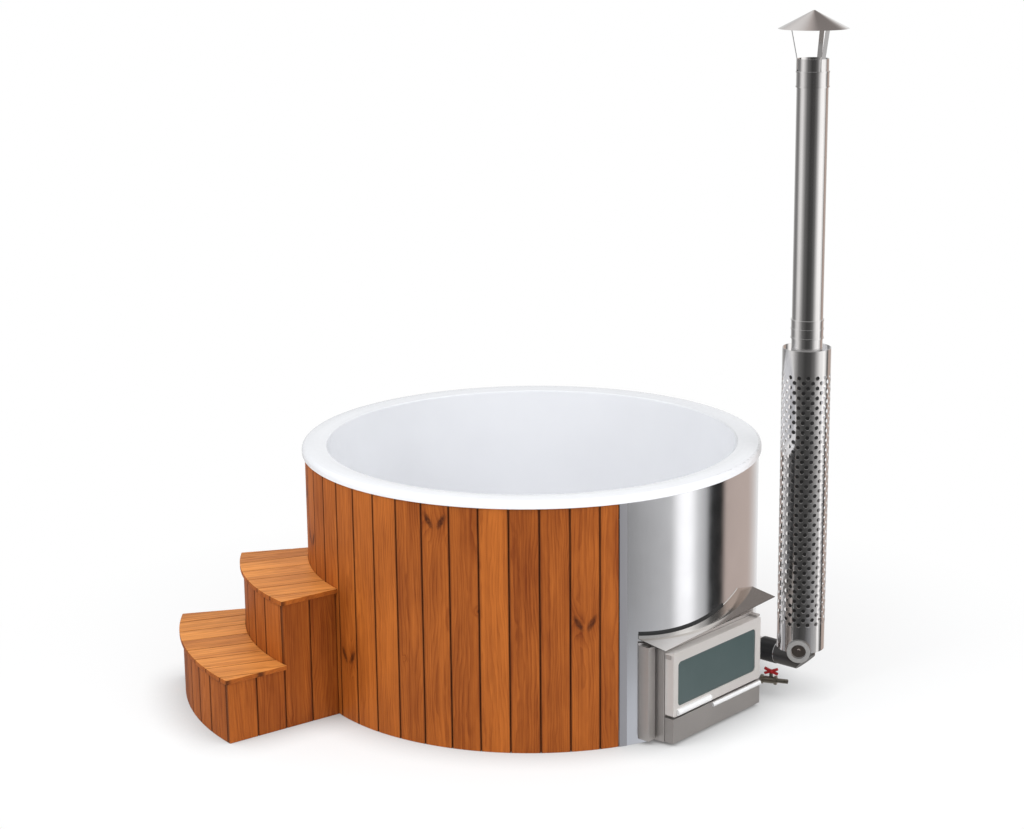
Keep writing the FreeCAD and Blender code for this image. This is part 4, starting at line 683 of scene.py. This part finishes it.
def chimney_guard():
    """Sheet with holes, in two skins joined at every border, on the plain foot of the node's own mesh."""
    shape, point = guard_holes()
    _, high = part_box("chimney_guard")
    top = 2 * GUARD_ROWS
    around = 2 * GUARD_COLUMNS
    brim = [shape.verts.new(on_guard(column / around, high.z)) for column in range(around)]
    for column in range(around):
        after = (column + 1) % around
        shape.faces.new((point(column, top), point(after, top), brim[after], brim[column]))
    inside = {}
    outer_faces = list(shape.faces)
    borders = [edge for edge in shape.edges if len(edge.link_faces) == 1]
    for vert in list(shape.verts):
        outward = (vert.co - CHIMNEY) * Vector((1, 1, 0))
        inside[vert] = shape.verts.new(vert.co - outward.normalized() * GUARD_WALL)
    for face in outer_faces:
        shape.faces.new([inside[vert] for vert in reversed(face.verts)])
    for edge in borders:
        first, second = edge.verts
        loop = edge.link_loops[0]
        if loop.vert != first:
            first, second = second, first
        shape.faces.new((second, first, inside[first], inside[second]))
    dressed("chimney_guard_holes", shape, ROOT, "chimney_guard")
    band = clean_mesh("chimney_guard")
    everything = list(band.verts) + list(band.edges) + list(band.faces)
    bmesh.ops.bisect_plane(band, geom=everything, plane_co=UP * GUARD_PLAIN_TOP, plane_no=UP,
                           clear_outer=True)
    dressed("chimney_guard_foot", band, ROOT, "chimney_guard")


chimney_guard()

# Sheet metal with softened folds
FOLDED = [("door_frame", "stove_door", 0.0012), ("drawer_front", "ash_drawer", 0.0012),
          ("stove_post_left", ROOT, 0.001), ("stove_post_right", ROOT, 0.001),
          ("stove_front_plate", ROOT, 0.001)]
for node, body, width in FOLDED:
    shape = clean_mesh(node)
    round_edges(shape, width)
    dressed(node + "_sheet", shape, body, node)


# The chimney with its fittings and the canopy's seal stay out of what the polished sheets mirror
UNMIRRORED = ("chimney_", "pipe_coupling", "guard_spacers", "cleaning_plug", "flue_sleeve", "canopy_seal")
for piece in bpy.context.scene.objects:
    if piece.name.startswith(UNMIRRORED):
        piece.visible_glossy = False


# Stage: white floor that keeps the shadow, studio surroundings for the steel, and soft lamps
def seen_directly(s):
    """Two masks: rays that come from the camera or through glass, and rays that a mirror sends on."""
    path = s.add("LightPath").outputs
    return s.math("MAXIMUM", path["Is Camera Ray"], path["Is Transmission Ray"]), path["Is Glossy Ray"]


# Floor, in metres: its size and drop, how far shadows reach into its own light, and where that takes over
# As shares: the light left in full shadow, and the part of it that is mixed in close by
FLOOR_RADIUS = 90.0
FLOOR_DROP = 0.0005
SHADOW_REACH = 0.2
SHADOW_LIGHT = 0.10
GLOW_NEAR = 1.2
GLOW_FAR = 2.6
GLOW_SHARE = 0.55


def white_floor():
    """White disc that shows the shadow near the part and fades into the background."""
    material = bpy.data.materials.new("studio_floor")
    material.use_nodes = True
    s = Shading(material.node_tree)
    s.tree.nodes.clear()
    diffuse = s.add("BsdfDiffuse", {"Color": (0.93, 0.93, 0.93)})
    # The floor's own glow is dimmed where the part is close: a painted contact shadow
    open_air = s.add("AmbientOcclusion", {"Distance": SHADOW_REACH}, samples=8).outputs["AO"]
    strength = s.spread(open_air, 0.0, 1.0, SHADOW_LIGHT, 1.0)
    glow = s.add("Emission", {"Color": (1, 1, 1), "Strength": strength})
    seen, _ = seen_directly(s)
    away = s.vector("LENGTH", s.add("NewGeometry").outputs["Position"], output="Value")
    share = s.math("MULTIPLY", seen, s.spread(away, GLOW_NEAR, GLOW_FAR, GLOW_SHARE, 1.0))
    mixed = s.add("MixShader", {0: share, 1: diffuse.outputs[0], 2: glow.outputs[0]})
    s.add("OutputMaterial", {"Surface": mixed.outputs[0]})
    shape = bmesh.new()
    bmesh.ops.create_circle(shape, cap_ends=True, segments=64, radius=FLOOR_RADIUS)
    mesh = bpy.data.meshes.new("studio_floor")
    shape.to_mesh(mesh)
    shape.free()
    mesh.materials.append(material)
    floor = bpy.data.objects.new("studio_floor", mesh)
    bpy.context.scene.collection.objects.link(floor)
    floor.location.z = -FLOOR_DROP
    floor.visible_glossy = False


# Light round the studio by azimuth, in degrees: what steel mirrors close to the floor, low down, higher up
# and overhead. Heights are those of the mirrored ray, from -1 straight down to 1 straight up.
WARM_GREY = (0.56, 0.46, 0.41)
LOW_WALLS = [(-180, 0.24), (-160, 0.12), (-142, 0.06), (-126, 0.06), (-110, 0.08), (-92, 0.10), (-62, 0.06),
             (-38, 0.08), (-12, 0.20), (-2, 0.30), (14, 0.48), (24, 0.60), (30, 1.35), (36, 1.40), (42, 0.72),
             (48, 0.48), (51, 0.02), (61, 0.02), (65, WARM_GREY), (92, WARM_GREY), (115, 0.85), (150, 0.50)]
NEAR_FLOOR = [(-180, 0.28), (-160, 0.40), (-142, 0.66), (-126, 0.68), (-110, 0.32), (-92, 0.12), (-62, 0.07),
              (-38, 0.14), (-22, (0.42, 0.43, 0.47)), (-8, (0.60, 0.62, 0.67)), (10, (0.64, 0.66, 0.70)),
              (24, 0.62), (36, 0.56), (48, 0.38), (62, 0.30), (76, WARM_GREY), (92, WARM_GREY), (115, 0.60),
              (150, 0.45)]
HIGH_WALLS = [(-180, 0.22), (-160, 0.30), (-142, 0.90), (-126, 1.0), (-108, 0.50), (-92, 0.18), (-62, 0.06),
              (-38, 0.08), (-20, 0.20), (-4, 0.72), (10, 1.25), (34, 1.35), (46, 1.0), (54, 0.30), (62, 0.10),
              (68, WARM_GREY), (92, WARM_GREY), (115, 0.95), (150, 0.55)]
OVERHEAD = [(-180, 0.70), (-160, 0.42), (-60, 0.42), (30, 0.60), (58, 1.30), (80, 1.20),
            (96, (0.27, 0.245, 0.235)), (116, (0.27, 0.245, 0.235)), (132, (0.58, 0.53, 0.51)), (150, 1.0),
            (166, 1.15)]
BELOW = (0.30, 0.29, 0.28)
FIRST_AZIMUTH = -180
LOW_TO_HIGH = (-0.26, -0.21)
LOW_TO_NEAR_FLOOR = (-0.335, -0.375)
HIGH_TO_OVERHEAD = (0.3, 0.6)
NEAR_FLOOR_TO_BELOW = (-0.45, -0.75)
STUDIO_LIGHT = 1.4
SOFT_LIGHT = 0.78


def studio_world():
    """White to the camera, soft light on the part, and painted walls for mirrored rays."""
    world = bpy.data.worlds.new("studio")
    bpy.context.scene.world = world
    world.use_nodes = True
    s = Shading(world.node_tree)
    s.tree.nodes.clear()
    x, y, z = s.split(s.add("TexCoord").outputs["Generated"])[:3]
    azimuth = s.math("DEGREES", s.math("ARCTAN2", y, x))
    turn = s.spread(azimuth, FIRST_AZIMUTH, FIRST_AZIMUTH + 360)

    def walls(stops):
        """Ring of light, closed at its ends."""
        ring = []
        for angle, value in [*stops, (FIRST_AZIMUTH + 360, stops[0][1])]:
            colour = Vector((value,) * 3) if isinstance(value, float) else Vector(value)
            ring.append(((angle - FIRST_AZIMUTH) / 360, tuple(colour / STUDIO_LIGHT)))
        return s.ramp(turn, ring)

    mirrored = s.mix(s.spread(z, *LOW_TO_HIGH), walls(LOW_WALLS), walls(HIGH_WALLS))
    mirrored = s.mix(s.spread(z, *LOW_TO_NEAR_FLOOR), mirrored, walls(NEAR_FLOOR))
    mirrored = s.mix(s.spread(z, *HIGH_TO_OVERHEAD), mirrored, walls(OVERHEAD))
    mirrored = s.mix(s.spread(z, *NEAR_FLOOR_TO_BELOW), mirrored, BELOW)
    seen, mirror = seen_directly(s)
    soft = s.add("Background", {"Color": (0.96, 0.98, 1.0), "Strength": SOFT_LIGHT})
    white = s.add("Background", {"Color": (1, 1, 1), "Strength": 1.0})
    studio = s.add("Background", {"Color": mirrored, "Strength": STUDIO_LIGHT})
    shown = s.add("MixShader", {0: seen, 1: soft.outputs[0], 2: white.outputs[0]})
    shown = s.add("MixShader", {0: mirror, 1: shown.outputs[0], 2: studio.outputs[0]})
    s.add("OutputWorld", {"Surface": shown.outputs[0]})


# Camera fitted to the photo
CAMERA_PLACE = Vector((6.0513, -6.9174, 3.4510))
CAMERA_FORWARD = Vector((-0.6456, 0.7246, -0.2411)).normalized()
CAMERA_RIGHT = Vector((0.7466, 0.6652, 0)).normalized()
CAMERA_ROLL = -0.0114
CAMERA_LENS = 76.40


def photo_camera():
    """Camera that looks at the part as in the photo."""
    camera = bpy.data.cameras.new("photo_camera")
    camera.sensor_width = 36.0
    camera.sensor_fit = "HORIZONTAL"
    camera.lens = CAMERA_LENS
    camera.clip_end = 300
    view = bpy.data.objects.new("photo_camera", camera)
    bpy.context.scene.collection.objects.link(view)
    up = CAMERA_RIGHT.cross(CAMERA_FORWARD)
    right = CAMERA_RIGHT * math.cos(CAMERA_ROLL) + up * math.sin(CAMERA_ROLL)
    top = up * math.cos(CAMERA_ROLL) - CAMERA_RIGHT * math.sin(CAMERA_ROLL)
    turned = Matrix((right, top, -CAMERA_FORWARD)).transposed()
    view.matrix_world = Matrix.Translation(CAMERA_PLACE) @ turned.to_4x4()
    bpy.context.scene.camera = view


LAMP_TARGET = Vector((0, 0, 0.6))


def lamp(name, side, forward, height, size, power):
    """Soft square lamp placed from the camera's view: to its right, towards it, and up."""
    light = bpy.data.lights.new(name, "AREA")
    light.size = size
    light.energy = power
    piece = bpy.data.objects.new(name, light)
    bpy.context.scene.collection.objects.link(piece)
    toward = Vector((-CAMERA_FORWARD.x, -CAMERA_FORWARD.y, 0)).normalized()
    piece.location = CAMERA_RIGHT * side + toward * forward + UP * height
    piece.rotation_euler = (LAMP_TARGET - piece.location).to_track_quat("-Z", "Y").to_euler()
    piece.visible_glossy = False


white_floor()
studio_world()
photo_camera()
lamp("key_lamp", side=-4.5, forward=3.5, height=5.5, size=3.5, power=220)
lamp("fill_lamp", side=4.5, forward=4.0, height=3.5, size=4.0, power=170)

bpy.context.scene.view_settings.view_transform = "Standard"
